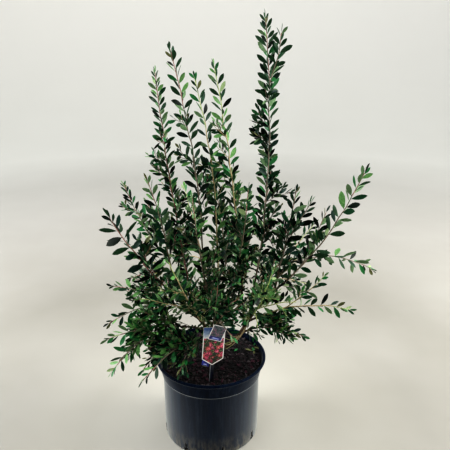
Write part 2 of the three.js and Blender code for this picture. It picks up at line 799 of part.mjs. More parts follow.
addPart("pot", makePot(), POT_PLASTIC);
addPart("bark_mulch", makeBark().subtract(makeLabel(GAP)), BARK_MULCH);
addPart("plant_label", makeLabel(0), LABEL_CARD);
addPart("label_flap", makeFlap(), LABEL_CARD);
fillLabelSpace();
makeTrunk();
makeLimbs();
MASSES.forEach(makeBough);
MASSES.forEach(planArms);
MASSES.forEach(planTwigs);
MASSES.forEach(makeMass);

export default shrub;
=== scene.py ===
# A young weeping bottlebrush shrub in a black nursery container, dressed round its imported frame.
# Sizes are in metres and angles in degrees, in the frame's own axes: +X to the viewer's right,
# +Y away from the viewer and +Z up, with the origin under the middle of the container. The limbs,
# boughs and leafy stems follow the rule that the frame's solids follow, and carry it on to finer
# twigs and real-size leaves. A pair for a draw or a spread is its least value and the span above.
import json
import math
from bisect import bisect_right
from itertools import product
from math import radians
from operator import add

import bpy
import numpy as np
from mathutils import Matrix, Vector, noise
from mathutils.kdtree import KDTree

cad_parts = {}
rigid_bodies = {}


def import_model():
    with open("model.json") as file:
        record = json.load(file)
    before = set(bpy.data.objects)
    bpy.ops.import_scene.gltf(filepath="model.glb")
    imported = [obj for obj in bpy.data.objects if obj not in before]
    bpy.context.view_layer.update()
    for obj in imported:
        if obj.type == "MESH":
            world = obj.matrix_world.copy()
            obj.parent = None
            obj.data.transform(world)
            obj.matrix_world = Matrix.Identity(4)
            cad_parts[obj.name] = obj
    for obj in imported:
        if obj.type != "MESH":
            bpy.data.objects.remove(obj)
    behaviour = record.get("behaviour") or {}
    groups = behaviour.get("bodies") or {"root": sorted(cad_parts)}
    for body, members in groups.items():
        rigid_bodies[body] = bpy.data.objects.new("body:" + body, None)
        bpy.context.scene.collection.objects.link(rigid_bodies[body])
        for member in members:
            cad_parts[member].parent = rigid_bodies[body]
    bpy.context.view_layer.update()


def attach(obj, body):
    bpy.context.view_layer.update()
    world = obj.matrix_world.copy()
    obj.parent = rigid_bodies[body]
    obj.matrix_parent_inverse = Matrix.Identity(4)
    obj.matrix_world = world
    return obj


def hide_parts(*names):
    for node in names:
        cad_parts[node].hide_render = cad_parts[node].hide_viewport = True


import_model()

# Container
POT_HEIGHT = 0.319
LIP_RADIUS = 0.203
LIP_HEIGHT = 0.011
COLLAR_RADIUS = 0.197
COLLAR_FOOT_RADIUS = 0.182
COLLAR_HEIGHT = 0.065
COLLAR_TOP = POT_HEIGHT - LIP_HEIGHT
STEP_LEVEL = POT_HEIGHT - COLLAR_HEIGHT
STEP_IN = 0.003
FOOT_RADIUS = 0.177
FOOT_ROUNDING = 0.007
FOOT_RING = 0.012
FOOT_RECESS = 0.004
POT_WALL = 0.004
POT_SIDES = 192
RIM_LEVEL = POT_HEIGHT - 0.001
INNER_RIM_ROUNDING = 0.0025
AXIS_HOLE = 0.001
RIDGE = 0.0012
DRAIN_COUNT = 8
DRAIN_TURN = 14.5
DRAIN_WIDTH = 0.018
DRAIN_BOTTOM = 0.006
DRAIN_TOP = 0.018
DRAIN_DEPTH = 0.030
SLIT_WIDTH = 0.006
SLIT_TOP = 0.036
SLIT_BEAD = 0.0013
BEAD_OVERRUN = 0.004
BEAD_SINK = 0.3
BEAD_GAP = 0.8
BEAD_RINGS = 7
BEAD_SIDES = 10

# Potting bark
BARK_LEVEL = 0.305
BARK_FLAT_RADIUS = 0.060
BARK_FALL = 0.003
BARK_DEPTH = 0.030
BED_RINGS = 56
BED_SIDES = 150
BED_GAP = 0.0015
BED_RELIEF = 0.0032
BED_LUMPS = 34
BED_CLODS = 130
CRUMB_RELIEF = 0.0016
CRUMB_SCALE = 420
CHIP_COUNT = 2600
CHIP_CORNERS = 7
CHIP_EDGE_ROOM = 0.010
CHIP_LENGTHS = (0.0035, 0.0125)
CHIP_WIDTH_SHARES = (0.35, 0.75)
CHIP_THICKNESS_SHARES = (0.14, 0.30)
CHIP_SMALLNESS = 2.2
CHIP_RAGGEDNESS = (0.75, 1.1)
CHIP_BEVEL = (0.72, 0.98)
CHIP_DOME = (0.8, 1.3)
CHIP_TILT = 64
PALE_CHIP = (0.175, -0.028, 0.004)
LITTER_COUNT = 14
LITTER_PLACE = (0.160, 0.055)
LITTER_SPREAD = 0.022
STRAY_LITTER_SPREAD = 0.155
LITTER_LIFT = 0.005
LITTER_SPIN = 9
LITTER_TILT = 0.5
LITTER_SIZES = (0.4, 0.65)
LITTER_ARCH = 0.15
LITTER_SWEEP = 0.1

# Trunk, limbs and boughs, which stand a little right of the container's middle
PLANT_MIDDLE = 0.011
TRUNK_FOOT = Vector((0.016, 0.008, 0.277))
TRUNK_RISE = Vector((0.003, 0.007, 0.078))
TRUNK_RADIUS = 0.012
TRUNK_FLARE = 0.009
FLARE_FADE = 3
TRUNK_RINGS = 12
BOUGH_RADII = (0.0046, 0.0030)
BARK_VOXEL = 0.0014
BARK_RING = 0.003
BARK_SIDES = 22
THIN_WOOD = 0.006
GRAIN_STRETCH = 0.80
FINE_GRAIN = 900
COARSE_GRAIN = 420
FURROW_SHARE = 0.055
FURROW_LEVEL = 0.6
LUMP_SHARE = 0.10
LUMP_SCALE = 70
KNOT_SHARE = 0.05
KNOT_SCALE = 260

# Leafy stems and twigs
STEM_RING = 0.010
STEM_SIDES = 7
STEM_TIP_RADIUS = 0.0011
ARM_BASE_RADIUS = 0.0022
STEM_WANDER = 0.005
WANDER_STEP = 0.37
WANDER_SCALE = 14
TWIG_SHARES = (0.06, 0.70)
TWIG_SPREAD = (38, 14)
FINE_TWIG_SPREAD = (24, 16)
TWIG_TURN_DRAW = 40
TWIG_SHORTENING = 0.45
TWIG_LENGTH_DRAW = (0.8, 0.3)
TWIG_BASE_RADIUS = 0.0013
TWIG_TIP_RADIUS = 0.0008
TWIG_SIDES = 5
TWIG_RING = 0.008
TWIG_BOW = 0.09
BOUGH_TWIGS = {"tall": 2, "left": 4, "right": 3, "front": 6, "inner": 8, "back": 4}
BOUGH_TWIG_SHARES = (0.35, 0.98)
BOUGH_TWIG_REACH = 0.085
NEW_WOOD_FROM = 0.78
SWEEP_SIDE = (0.31, 0.93, 0.21)
FOOT_DOME = 0.3
TIP_DOME = 0.8
SPRIG_SHARES = (0.32, 0.60)
SPRIG_LENGTH = 0.55
SPRIG_LENGTH_DRAW = (0.8, 0.4)
SPRIG_SPREAD = (38, 10)
SPRIG_TURN_DRAW = 4
SPRIG_RADII = (TWIG_BASE_RADIUS * 0.8, TWIG_TIP_RADIUS * 0.9)
SHORTEST_FORKED = 0.045
BARE_TWIGS = 6
BARE_TWIG_ROOTS = (0.35, 0.95)
BARE_TWIG_ENDS = ((0.040, 0.080), (-0.075, -0.020), (0.380, 0.430))
BARE_TWIG_BOW = 0.14
BARE_TWIG_SAG = Vector((0, -1, -0.6))
BARE_TWIG_RADII = (0.0017, 0.0010)
GOLDEN_ANGLE = 137.5
GOLDEN_SHARE = 0.618034
TURNS_TRIED = 5

# Leaves
LEAF_LENGTH = 0.046
LEAF_WIDTH = 0.0148
LEAF_THICKNESS = 0.0006
LEAF_FOLD = 0.16
LEAF_ARCH = 0.10
ARCH_RANGE = (-0.4, 1.2)
LEAF_SWEEP = 0.10
LEAF_BREADTHS = (0.88, 1.12)
LEAF_STATIONS = (0.0, 0.07, 0.25, 0.46, 0.68, 0.87)
LEAF_HALF_WIDTHS = (0.07, 0.10, 0.60, 0.94, 0.98, 0.60)
LEAF_TWIST = 40
SPREAD_DRAW = 12
TIP_SPREAD = 28
TIP_LEAF_SPREAD = 6
TIP_LEAF_SHARE = 0.56
TIP_CROWDING = 1.15
LAST_LEAF_PLACE = 0.998
LEAF_OFFSET = 0.4
TAPER_LENGTH = 0.085
TAPER_SHARE = 0.5
LENGTH_DRAW = (0.85, 0.3)
ARM_LEAF_SPACING = 0.0088
TWIG_LEAF_SPACING = 0.0088
TWIG_LEAF_SIZE = 0.88
SPRIG_LEAF_SIZE = 0.76
LOW_LEAF_SIZE = 0.84
HIGH_LEAF_SIZE = 1.02
SIZE_LEVELS = (0.53, 0.93)
NEW_LEAF_ZONE = 0.4
NEW_LEAF_SHARE = 0.18
UPTURNED_SHARE = 0.8
EDGE_ON = 0.25
EDGE_ON_TURNED_SHARE = 0.4
LEAF_MARKS = (0.4, 0.7, 1.0)
LEAF_SEAT = 0.4

# Seeds of the draws and of the stems' drift
CHIP_SEED = 500000
BARE_TWIG_SEED = 700000
LITTER_SEED = 800000
MASS_SEED = 10000
ARM_SEED = 1000
BOUGH_SEED = 9000
TWIG_SEED = 100
FORK_SEED = 50
SPRIG_SEED = 7
SPRIG_LEAF_SEEDS = (60, 13)
ARM_DRIFT_SEED = 100
BARE_TWIG_DRIFT_SEED = 700
NOISE_SEED = 1

# Room that foliage keeps
CELL = 0.006
NEIGHBOURS = list(product((-1, 0, 1), repeat=3))
CLEAR_OF_LEAVES = 0.0038
CLEAR_OF_POT = 0.010

# Gaps that the photograph shows through the crown: where their sight lines cross the upright
# plane through the container's middle, sideways and up, and their radii there.
SKY_GAPS = [
    (-0.024, 0.764, 0.023), (-0.049, 0.715, 0.016), (-0.134, 0.673, 0.019), (-0.161, 0.815, 0.013),
    (0.149, 0.775, 0.015), (0.121, 0.937, 0.012), (0.024, 0.680, 0.009), (0.258, 0.902, 0.013),
    (0.154, 0.461, 0.018), (0.186, 0.506, 0.018), (0.225, 0.519, 0.018), (0.265, 0.527, 0.018),
    (0.301, 0.531, 0.018), (0.388, 0.756, 0.021), (0.429, 0.775, 0.021),
    (-0.090, 0.465, 0.018), (-0.057, 0.457, 0.015),
]

# Plant label; the small card's place is from the foot of the label's axis, before the turn
LABEL_PLACE = Vector((0.0075, -0.151, 0.0))
LABEL_ROLL = 4
LABEL_TURN = 11
CARD_WIDTH = 0.075
CARD_BOTTOM = 0.372
CARD_SHOULDER = 0.396
CARD_TOP = 0.519
CARD_THICKNESS = 0.0012
CARD_BORDER = 0.0032
CARD_EDGE = 0.0006
CARD_ROUNDING = 0.004
PRINT_FILM = 0.0003
PRINT_DUSK = 0.055
SKY_HEIGHT = 0.042
SKY_FADE = 0.044
SLIP_DEPTH = 0.0015
SLIP = [(-0.037, 0.373), (-0.012, 0.364), (-0.010, 0.381), (-0.035, 0.392)]
SLIP_STREAK = [(-0.031, 0.3745), (-0.018, 0.3705), (-0.020, 0.3755), (-0.029, 0.3785)]
STAKE_WIDTH = 0.014
STAKE_DEPTH = 0.085
STAKE_LAP = 0.030
STAKE_RIB = 0.0024
RIB_THICKNESS = 0.0008
FLAP_SIZE = (0.048, 0.063)
FLAP_PLACE = Vector((0.018, -0.009, 0.500))
FLAP_ROLL = 20
FLAP_TIP_FORWARD = 9
FLAP_BORDER = 0.0026
FLAP_ROUNDING = 0.003
FLAP_BAND = 0.016
BUTTON_RADIUS = 0.004
BUTTON_NECK = 0.0018
BUTTON_HEAD = 0.0016
BUTTON_SIDE = 0.012
BUTTON_RISE = 0.002
BUTTON_FACETS = 24

# The wedge in front of the label that foliage keeps out of
VIEW_SLOPE = 0.634
VIEW_START = 0.006
VIEW_DEPTH = 0.26
VIEW_HALF_WIDTH = 0.046
VIEW_HALF_HEIGHT = 0.080

# Camera, stage and light
CAMERA_PLACE = (0.052, -1.80, 1.485)
CAMERA_PITCH = 20
CAMERA_LENS = 44.8
CAMERA_SENSOR = 36
CAMERA_RANGE = (0.05, 100)
FLOOR_RADIUS = 4.5
STAGE_RADIUS = 7.5
STAGE_HEIGHT = 6.0
STAGE_SIDES = 64
# Distance and heights over which the paper's painted light and shade run
PAINTED_SHADING_REACH = 6.0
PAINTED_LIGHT_LEVELS = (0.05, 1.75)
WORLD_COLOUR = (0.95, 0.97, 1.0, 1)
WORLD_STRENGTH = 0.46
WARM = (1.0, 0.99, 0.97)

# Softboxes: name, place, target, size, watts and colour.
SOFTBOXES = [
    ("overhead", (0.4, 0.4, 4.2), (0, 0.1, 0.6), (2.6, 2.4), 74, WARM),
    ("left_softbox", (-3.2, 0.2, 3.2), (0, 0, 0.7), (1.6, 2.0), 140, (0.97, 0.98, 1.0)),
    ("right_softbox", (3.0, 0.4, 3.2), (0, 0, 0.7), (1.6, 2.0), 140, (1.0, 0.99, 0.96)),
    ("left_low_softbox", (-2.8, -0.2, 0.9), (0, 0, 0.2), (1.4, 1.2), 42, WARM),
    ("right_low_softbox", (2.8, -0.2, 0.9), (0, 0, 0.2), (1.4, 1.2), 42, WARM),
]

UP = Vector((0, 0, 1))
MASK = 0xFFFFFFFF


def lerp(a, b, share):
    return a + (b - a) * share


def smoothstep(low, high, value):
    share = min(max((value - low) / (high - low), 0), 1)
    return share * share * (3 - 2 * share)


def seeded(seed):
    """The same seed always draws the same numbers between 0 and 1."""
    state = seed & MASK

    def draw():
        nonlocal state
        state = (state + 0x6D2B79F5) & MASK
        mixed = ((state ^ (state >> 15)) * (1 | state)) & MASK
        mixed = ((mixed + (((mixed ^ (mixed >> 7)) * (61 | mixed)) & MASK)) & MASK) ^ mixed
        return ((mixed ^ (mixed >> 14)) & MASK) / (MASK + 1)

    return draw


# Five limbs leave the trunk: name, parent, share of the parent's length, tip as a turn round the
# trunk, a reach and a height, upward bow as a share of the length, and the two radii.
LIMBS = [
    ("middle_limb", "trunk", 1.0, (75, 0.030, 0.505), 0.0, (0.0100, 0.0065)),
    ("left_limb", "trunk", 0.8, (180, 0.075, 0.495), 0.05, (0.0090, 0.0060)),
    ("right_limb", "trunk", 0.6, (0, 0.130, 0.487), -0.12, (0.0100, 0.0065)),
    ("front_limb", "trunk", 0.7, (263, 0.060, 0.445), 0.04, (0.0070, 0.0050)),
    ("back_limb", "trunk", 0.75, (82, 0.120, 0.475), -0.05, (0.0080, 0.0055)),
]

# How an arm is clothed: the size of its leaves, the room between them, how far they stand off
# the stem in degrees, and the share of its length that carries twigs.
BUSHY = (1.05, 1.0, 46, 0.70)
LOOSE = (1.14, 1.15, 48, 0.52)
PLUME = (1.25, 1.25, 54, 0.30)
LONG_LEAVED = (1.50, 1.05, 66, 0.30)
WAND = (1.0, 1.2, 46, 0.70)
THIN_WAND = (1.0, 1.4, 46, 0.60)
CLOSE_WAND = (1.03, 0.85, 46, 0.70)
SMALL_LEAVED = (0.82, 0.72, 46, 0.70)
DROOPING = (1.32, 1.10, 54, 0.55)
FINE = (0.96, 0.93, 48, 0.58)
HEART = (1.0, 1.0, 46, 1.0)


def arm(tip, bow, twigs, reach, habit, start=0.0):
    """A leafy stem: its tip, its bow, how many twigs it has, their greatest length, how it is
    clothed, and the share of the first arm where it starts."""
    return {"tip": tip, "bow": bow, "twigs": twigs, "reach": reach, "habit": habit, "start": start}


def mass(name, parent, at, bare, group, finer, tone, wood, *arms):
    """A leafy mass: where its bough starts, the bare share of its first arm, the piece that it
    is joined to, how many times the frame's twigs it carries, and its foliage and wood colours."""
    return {
        "name": name, "parent": parent, "at": at, "bare": bare, "group": group,
        "finer": finer, "tone": tone, "wood": wood, "arms": arms,
    }


MASSES = [
    mass("tall_far_left", "left_limb", 0.93, 0.14, "tall", 3, "mixed", "red",
         arm((174, 0.180, 1.333), -0.012, 3, 0.090, SMALL_LEAVED)),
    mass("tall_left", "left_limb", 0.62, 0.20, "tall", 2, "deep", "brown",
         arm((206, 0.136, 1.407), 0.042, 3, 0.090, WAND)),
    mass("tall_thin", "middle_limb", 1.0, 0.18, "tall", 2, "mixed", "tan",
         arm((117, 0.135, 1.310), 0.072, 3, 0.080, THIN_WAND)),
    mass("tall_middle", "right_limb", 0.70, 0.22, "tall", 3, "fresh", "tan",
         arm((79, 0.031, 1.355), 0.02, 3, 0.090, WAND)),
    mass("tall_right", "right_limb", 0.90, 0.18, "tall", 3, "blue", "brown",
         arm((20, 0.178, 1.495), -0.072, 4, 0.090, CLOSE_WAND),
         arm((5, 0.215, 1.451), -0.05, 0, 0, BUSHY, 0.76)),
    mass("left_bough_tip", "left_limb", 1.0, 0.42, "left", 3, "blue", "red",
         arm((196.5, 0.345, 0.890), -0.04, 3, 0.080, LONG_LEAVED)),
    mass("upper_left", "left_bough_tip", 0.50, 0.20, "left", 3, "mixed", "brown",
         arm((183, 0.214, 0.985), 0.03, 4, 0.100, LOOSE),
         arm((160, 0.338, 0.937), -0.06, 2, 0.070, SMALL_LEAVED, 0.15)),
    mass("left_low", "left_limb", 0.75, 0.30, "left", 5, "mixed", "brown",
         arm((172, 0.375, 0.573), 0.08, 3, 0.100, LOOSE),
         arm((192, 0.372, 0.493), 0.06, 3, 0.090, PLUME, 0.12)),
    mass("left_drooping", "left_limb", 0.42, 0.30, "left", 6, "fresh", "brown",
         arm((203, 0.385, 0.473), 0.10, 3, 0.090, DROOPING),
         arm((210, 0.390, 0.377), 0.10, 3, 0.080, DROOPING, 0.20)),
    mass("front_left_low", "front_limb", 0.50, 0.22, "front", 5, "mixed", "brown",
         arm((231, 0.355, 0.397), 0.14, 4, 0.090, LOOSE),
         arm((243, 0.245, 0.380), 0.10, 2, 0.070, BUSHY, 0.12),
         arm((218, 0.300, 0.375), 0.16, 3, 0.080, LOOSE, 0.20)),
    mass("right_bough_tip", "right_limb", 1.0, 0.30, "right", 1, "mixed", "brown",
         arm((0, 0.503, 1.013), -0.06, 3, 0.080, PLUME),
         arm((8.5, 0.400, 0.855), -0.03, 2, 0.070, LOOSE, 0.14),
         arm((7.5, 0.585, 0.627), 0.09, 2, 0.060, PLUME, 0.22)),
    mass("right_low", "right_limb", 0.83, 0.30, "right", 1, "mixed", "tan",
         arm((-9.5, 0.478, 0.547), 0.10, 3, 0.080, PLUME),
         arm((-15, 0.385, 0.683), -0.03, 2, 0.070, LOOSE, 0.17)),
    mass("right_drooping", "right_limb", 0.55, 0.26, "right", 3, "deep", "brown",
         arm((-15, 0.325, 0.445), 0.14, 4, 0.090, LOOSE),
         arm((12, 0.315, 0.455), 0.06, 3, 0.080, LOOSE, 0.12)),
    mass("right_upper", "right_bough_tip", 0.60, 0.25, "right", 2, "blue", "brown",
         arm((15, 0.300, 0.927), -0.02, 3, 0.090, LOOSE),
         arm((12, 0.350, 0.887), 0.02, 2, 0.070, LOOSE, 0.20)),
    mass("front_right", "right_limb", 0.74, 0.30, "front", 4, "fresh", "green",
         arm((-50, 0.300, 0.773), -0.04, 3, 0.090, FINE),
         arm((-35, 0.330, 0.635), 0.04, 2, 0.080, FINE, 0.14),
         arm((-55, 0.255, 0.550), 0.08, 2, 0.080, PLUME, 0.06)),
    mass("front_left", "front_limb", 0.80, 0.28, "front", 4, "mixed", "tan",
         arm((240, 0.262, 0.790), -0.03, 4, 0.090, FINE),
         arm((222, 0.310, 0.655), 0.04, 2, 0.080, FINE, 0.10)),
    mass("front_middle", "front_limb", 1.0, 0.30, "front", 5, "deep", "brown",
         arm((274, 0.270, 0.735), -0.03, 3, 0.090, FINE),
         arm((292, 0.235, 0.665), 0.02, 2, 0.080, FINE, 0.14),
         arm((285, 0.255, 0.540), 0.08, 2, 0.080, PLUME, 0.06)),
    mass("inner_left", "middle_limb", 0.66, 0.26, "inner", 4, "mixed", "brown",
         arm((243, 0.135, 0.965), -0.04, 5, 0.110, FINE)),
    mass("inner_right", "middle_limb", 0.45, 0.34, "inner", 4, "deep", "brown",
         arm((-30, 0.134, 0.975), -0.05, 5, 0.110, FINE)),
    mass("back_left", "back_limb", 0.60, 0.30, "back", 3, "deep", "brown",
         arm((137, 0.350, 0.830), -0.02, 3, 0.110, LOOSE),
         arm((150, 0.385, 0.535), 0.08, 2, 0.100, LOOSE, 0.14)),
    mass("back_middle_left", "back_limb", 0.85, 0.30, "back", 3, "mixed", "tan",
         arm((110, 0.340, 0.865), -0.03, 3, 0.110, LOOSE),
         arm((112, 0.400, 0.535), 0.08, 2, 0.100, LOOSE, 0.14)),
    mass("back_middle_right", "back_limb", 1.0, 0.30, "back", 3, "deep", "brown",
         arm((76, 0.350, 0.825), -0.03, 3, 0.110, LOOSE),
         arm((84, 0.415, 0.520), 0.08, 2, 0.100, LOOSE, 0.14),
         arm((95, 0.190, 0.995), 0.03, 2, 0.100, LOOSE, 0.07)),
    mass("back_right", "back_limb", 0.72, 0.30, "back", 3, "mixed", "brown",
         arm((52, 0.355, 0.905), -0.03, 3, 0.110, LOOSE),
         arm((55, 0.400, 0.525), 0.10, 2, 0.100, LOOSE, 0.14)),
    mass("back_far_right", "back_limb", 0.45, 0.36, "back", 2, "blue", "tan",
         arm((30, 0.440, 0.750), -0.02, 3, 0.100, LOOSE),
         arm((30, 0.420, 0.505), 0.08, 2, 0.090, LOOSE, 0.14)),
]

# Foliage colours with the undersides last: name, colour, its lighter mottle, and where they
# aren't the usual ones, gloss and roughness. Leaves are dealt them by weights in this order.
LEAF_COLOURS = [
    ("leaf_night", "010f06", "04190c", 0.10),
    ("leaf_deep", "07301a", "0f4626", 0.20),
    ("leaf_blue", "06281e", "0c382a"),
    ("leaf_mid", "1c5c30", "2e743e"),
    ("leaf_fresh", "4c7a42", "70995c"),
    ("leaf_pale", "7f9468", "9cae84"),
    ("leaf_young", "505234", "72784a"),
    ("leaf_under_dark", "1c3a24", "2e5034", 0.2, 0.5),
    ("leaf_under_pale", "557450", "78936c", 0.3, 0.55),
]
LEAF_TONES = [name for name, *_ in LEAF_COLOURS]
DARK_TONES = LEAF_TONES.index("leaf_blue") + 1
DARK_UNDERSIDE = LEAF_TONES.index("leaf_under_dark")
PALE_UNDERSIDE = LEAF_TONES.index("leaf_under_pale")
SPRAY_WEIGHTS = {
    "deep": (0.40, 0.28, 0.08, 0.16, 0.07, 0.01, 0.0),
    "mixed": (0.30, 0.22, 0.07, 0.22, 0.16, 0.03, 0.0),
    "fresh": (0.17, 0.17, 0.03, 0.25, 0.30, 0.07, 0.01),
    "blue": (0.44, 0.18, 0.24, 0.10, 0.04, 0.0, 0.0),
}
STEM_COLOURS = [
    ("stem_brown", "54483e", "8e8270"),
    ("stem_tan", "94835f", "c4b28c"),
    ("stem_red", "6e4240", "a07468"),
    ("stem_green", "8a965a", "b8c284"),
]
STEM_TONES = [name for name, *_ in STEM_COLOURS]

# Chips: name, colour, its lighter grain, and the share of the chips.
CHIP_COLOURS = [
    ("chip_black", "050406", "100e12", 0.52),
    ("chip_brown", "180f12", "33242a", 0.29),
    ("chip_plum", "260f1a", "4a2232", 0.11),
    ("chip_grey", "302c30", "5a5254", 0.079),
    ("chip_pale", "9c948a", "d8d0c8", 0.001),
]


# Materials

def srgb(code):
    """A linear colour from an sRGB hex code."""
    parts = [int(code[i:i + 2], 16) / 255 for i in (0, 2, 4)]
    return tuple(c / 12.92 if c <= 0.04045 else ((c + 0.055) / 1.055) ** 2.4 for c in parts) + (1,)


class Finish:
    """A procedural material, built up from a Principled shader in object coordinates."""

    def __init__(self, name, roughness, **settings):
        self.material = bpy.data.materials.new(name)
        self.material.use_nodes = True
        self.nodes = self.material.node_tree.nodes
        self.links = self.material.node_tree.links
        self.shader = self.nodes["Principled BSDF"]
        self.fill(self.shader, Roughness=roughness, **settings)
        self.place = self.node("TexCoord").outputs["Object"]

    def feed(self, socket, value):
        """Links a node's output to the socket, or sets it to a number, a colour or a hex code."""
        if isinstance(value, bpy.types.NodeSocket):
            self.links.new(value, socket)
        else:
            socket.default_value = srgb(value) if isinstance(value, str) else value

    def fill(self, node, **inputs):
        for name, value in inputs.items():
            self.feed(node.inputs[name.replace("_", " ")], value)

    def node(self, kind, **inputs):
        """A new node, with its inputs filled in by name."""
        made = self.nodes.new("ShaderNode" + kind)
        self.fill(made, **inputs)
        return made

    def noise(self, scale, detail=4, roughness=0.55, stretch=None):
        place = self.place
        if stretch:
            place = self.node("Mapping", Vector=place, Scale=stretch).outputs["Vector"]
        grain = self.node("TexNoise", Vector=place, Scale=scale, Detail=detail, Roughness=roughness)
        return grain.outputs["Fac"]

    def ramp(self, value, *stops):
        """Colours by hex code at rising values."""
        made = self.node("ValToRGB", Fac=value)
        steps = made.color_ramp.elements
        while len(steps) < len(stops):
            steps.new(0.5)
        for step, (place, code) in zip(steps, stops):
            step.position = place
            step.color = srgb(code)
        return made.outputs["Color"]

    def mixed(self, share, first, second, kind="MIX"):
        """The first colour, with a share of the second mixed in."""
        made = self.node("Mix")
        made.data_type = "RGBA"
        made.blend_type = kind
        for socket, value in ((0, share), (6, first), (7, second)):
            self.feed(made.inputs[socket], value)
        return made.outputs[2]

    def range(self, value, low, high, start=0.0, end=1.0):
        """The value carried over from start and end to low and high."""
        limits = {"From_Min": start, "From_Max": end, "To_Min": low, "To_Max": high}
        return self.node("MapRange", Value=value, **limits).outputs["Result"]

    def math(self, operation, first, second):
        made = self.node("Math")
        made.operation = operation
        self.feed(made.inputs[0], first)
        self.feed(made.inputs[1], second)
        return made.outputs[0]

    def height(self, axis="Z"):
        return self.node("SeparateXYZ", Vector=self.place).outputs[axis]

    def reach(self):
        """The distance from the origin."""
        made = self.node("VectorMath")
        made.operation = "LENGTH"
        self.feed(made.inputs[0], self.place)
        return made.outputs["Value"]

    def colour(self, value):
        self.fill(self.shader, Base_Color=value)
        return self

    def rough(self, value):
        self.fill(self.shader, Roughness=value)
        return self

    def bump(self, value, depth, strength=1.0):
        """Raises the surface by a value, over the bumps that are there already."""
        made = self.node("Bump", Height=value, Distance=depth, Strength=strength)
        before = self.shader.inputs["Normal"].links
        if before:
            self.fill(made, Normal=before[0].from_socket)
        self.fill(self.shader, Normal=made.outputs["Normal"])
        return self


def leaf_finish(name, code, lighter, gloss=0.3, roughness=0.36):
    """A waxy blade: one plain green with a faint mottle, and fine pores in its gloss."""
    made = Finish(name, roughness, Specular_IOR_Level=gloss)
    made.colour(made.ramp(made.noise(180, 2), (0.35, code), (0.75, lighter)))
    made.rough(made.range(made.noise(420, 2), roughness - 0.06, roughness + 0.12))
    return made.bump(made.noise(900, 2), 0.00012, 0.5).material


def stem_finish(name, code, lighter):
    """Young bark with lengthwise streaks and small pale breathing pores."""
    made = Finish(name, 0.62)
    streaks = made.noise(260, 4, 0.6, (1, 1, 0.18))
    tone = made.ramp(streaks, (0.32, code), (0.70, lighter))
    pores = made.ramp(made.noise(900, 1), (0.70, "000000"), (0.76, "ffffff"))
    made.colour(made.mixed(pores, tone, "a39680"))
    return made.bump(streaks, 0.0003, 0.7).bump(made.noise(1400, 2), 0.0001, 0.4).material


def bark_finish():
    """Old bark: grey-brown plates with dark furrows and olive stains."""
    made = Finish("trunk_bark", 0.86)
    furrows = made.noise(150, 6, 0.62, (1, 1, 0.22))
    tone = made.ramp(furrows, (0.28, "1c1410"), (0.44, "463428"), (0.60, "6c5847"), (0.80, "8d7d6b"))
    stains = made.range(made.noise(28, 3), 0.0, 0.55, 0.45, 0.75)
    made.colour(made.mixed(stains, tone, "5b5a48"))
    made.rough(made.range(furrows, 0.95, 0.74, 0.3, 0.8))
    return made.bump(furrows, 0.0012, 0.9).bump(made.noise(1100, 3), 0.0003, 0.5).material


def pot_finish(name, sheen, spread):
    """Black moulded plastic, satin, with pale vertical streaks that are partly dust and partly painted
    sheen, dust, and dried splashes at the foot.
    """
    made = Finish(
        name, 0.44, Specular_IOR_Level=0.04,
        Sheen_Weight=sheen, Sheen_Roughness=spread, Sheen_Tint=(0.97, 1.0, 0.97, 1),
    )
    tone = made.ramp(made.noise(60, 5, 0.6, (1, 1, 0.05)), (0.3, "01091c"), (0.7, "06172c"))
    # Pale vertical streaks in the colour: partly dust and partly painted sheen.
    drawn = made.range(made.noise(85, 5, 0.7, (1, 1, 0.10)), 0.0, 0.42, 0.48, 0.74)
    dust = made.noise(140, 6, 0.7)
    dust_and_painted_sheen = made.mixed(drawn, tone, "2e3a46")
    film = made.mixed(made.range(dust, 0.0, 0.22, 0.50, 0.85), dust_and_painted_sheen, "30363e")
    low = made.range(made.height(), 1.0, 0.0, 0.004, 0.085)
    splash = made.range(made.noise(75, 5, 0.65, (1, 1, 0.35)), 0.0, 0.9, 0.42, 0.72)
    made.colour(made.mixed(made.math("MULTIPLY", low, splash), film, "6a6250"))
    made.rough(made.range(dust, 0.34, 0.56, 0.3, 0.8))
    made.bump(made.noise(90, 4, 0.5, (1, 1, 0.04)), 0.0004, 0.35)
    return made.bump(made.noise(900, 3), 0.00012, 0.35).material


def crumb_finish(name, code, lighter):
    """Broken bark, matt and coarse in its grain."""
    made = Finish(name, 0.92)
    grain = made.noise(420, 5, 0.7, (1, 0.35, 1))
    made.colour(made.ramp(grain, (0.30, code), (0.72, lighter)))
    return made.bump(grain, 0.0008, 0.9).material


def printed(name, roughness=0.30):
    """The start of a printed plastic card: a glossy film with a slight waviness."""
    made = Finish(name, roughness, Coat_Weight=0.3, Coat_Roughness=0.15)
    return made.bump(made.noise(500, 2), 0.00008, 0.3)


def card_finish(name, code, other, scale=60):
    """A flat tint with a slight cloudiness."""
    made = printed(name)
    return made.colour(made.ramp(made.noise(scale, 3), (0.36, code), (0.66, other))).material


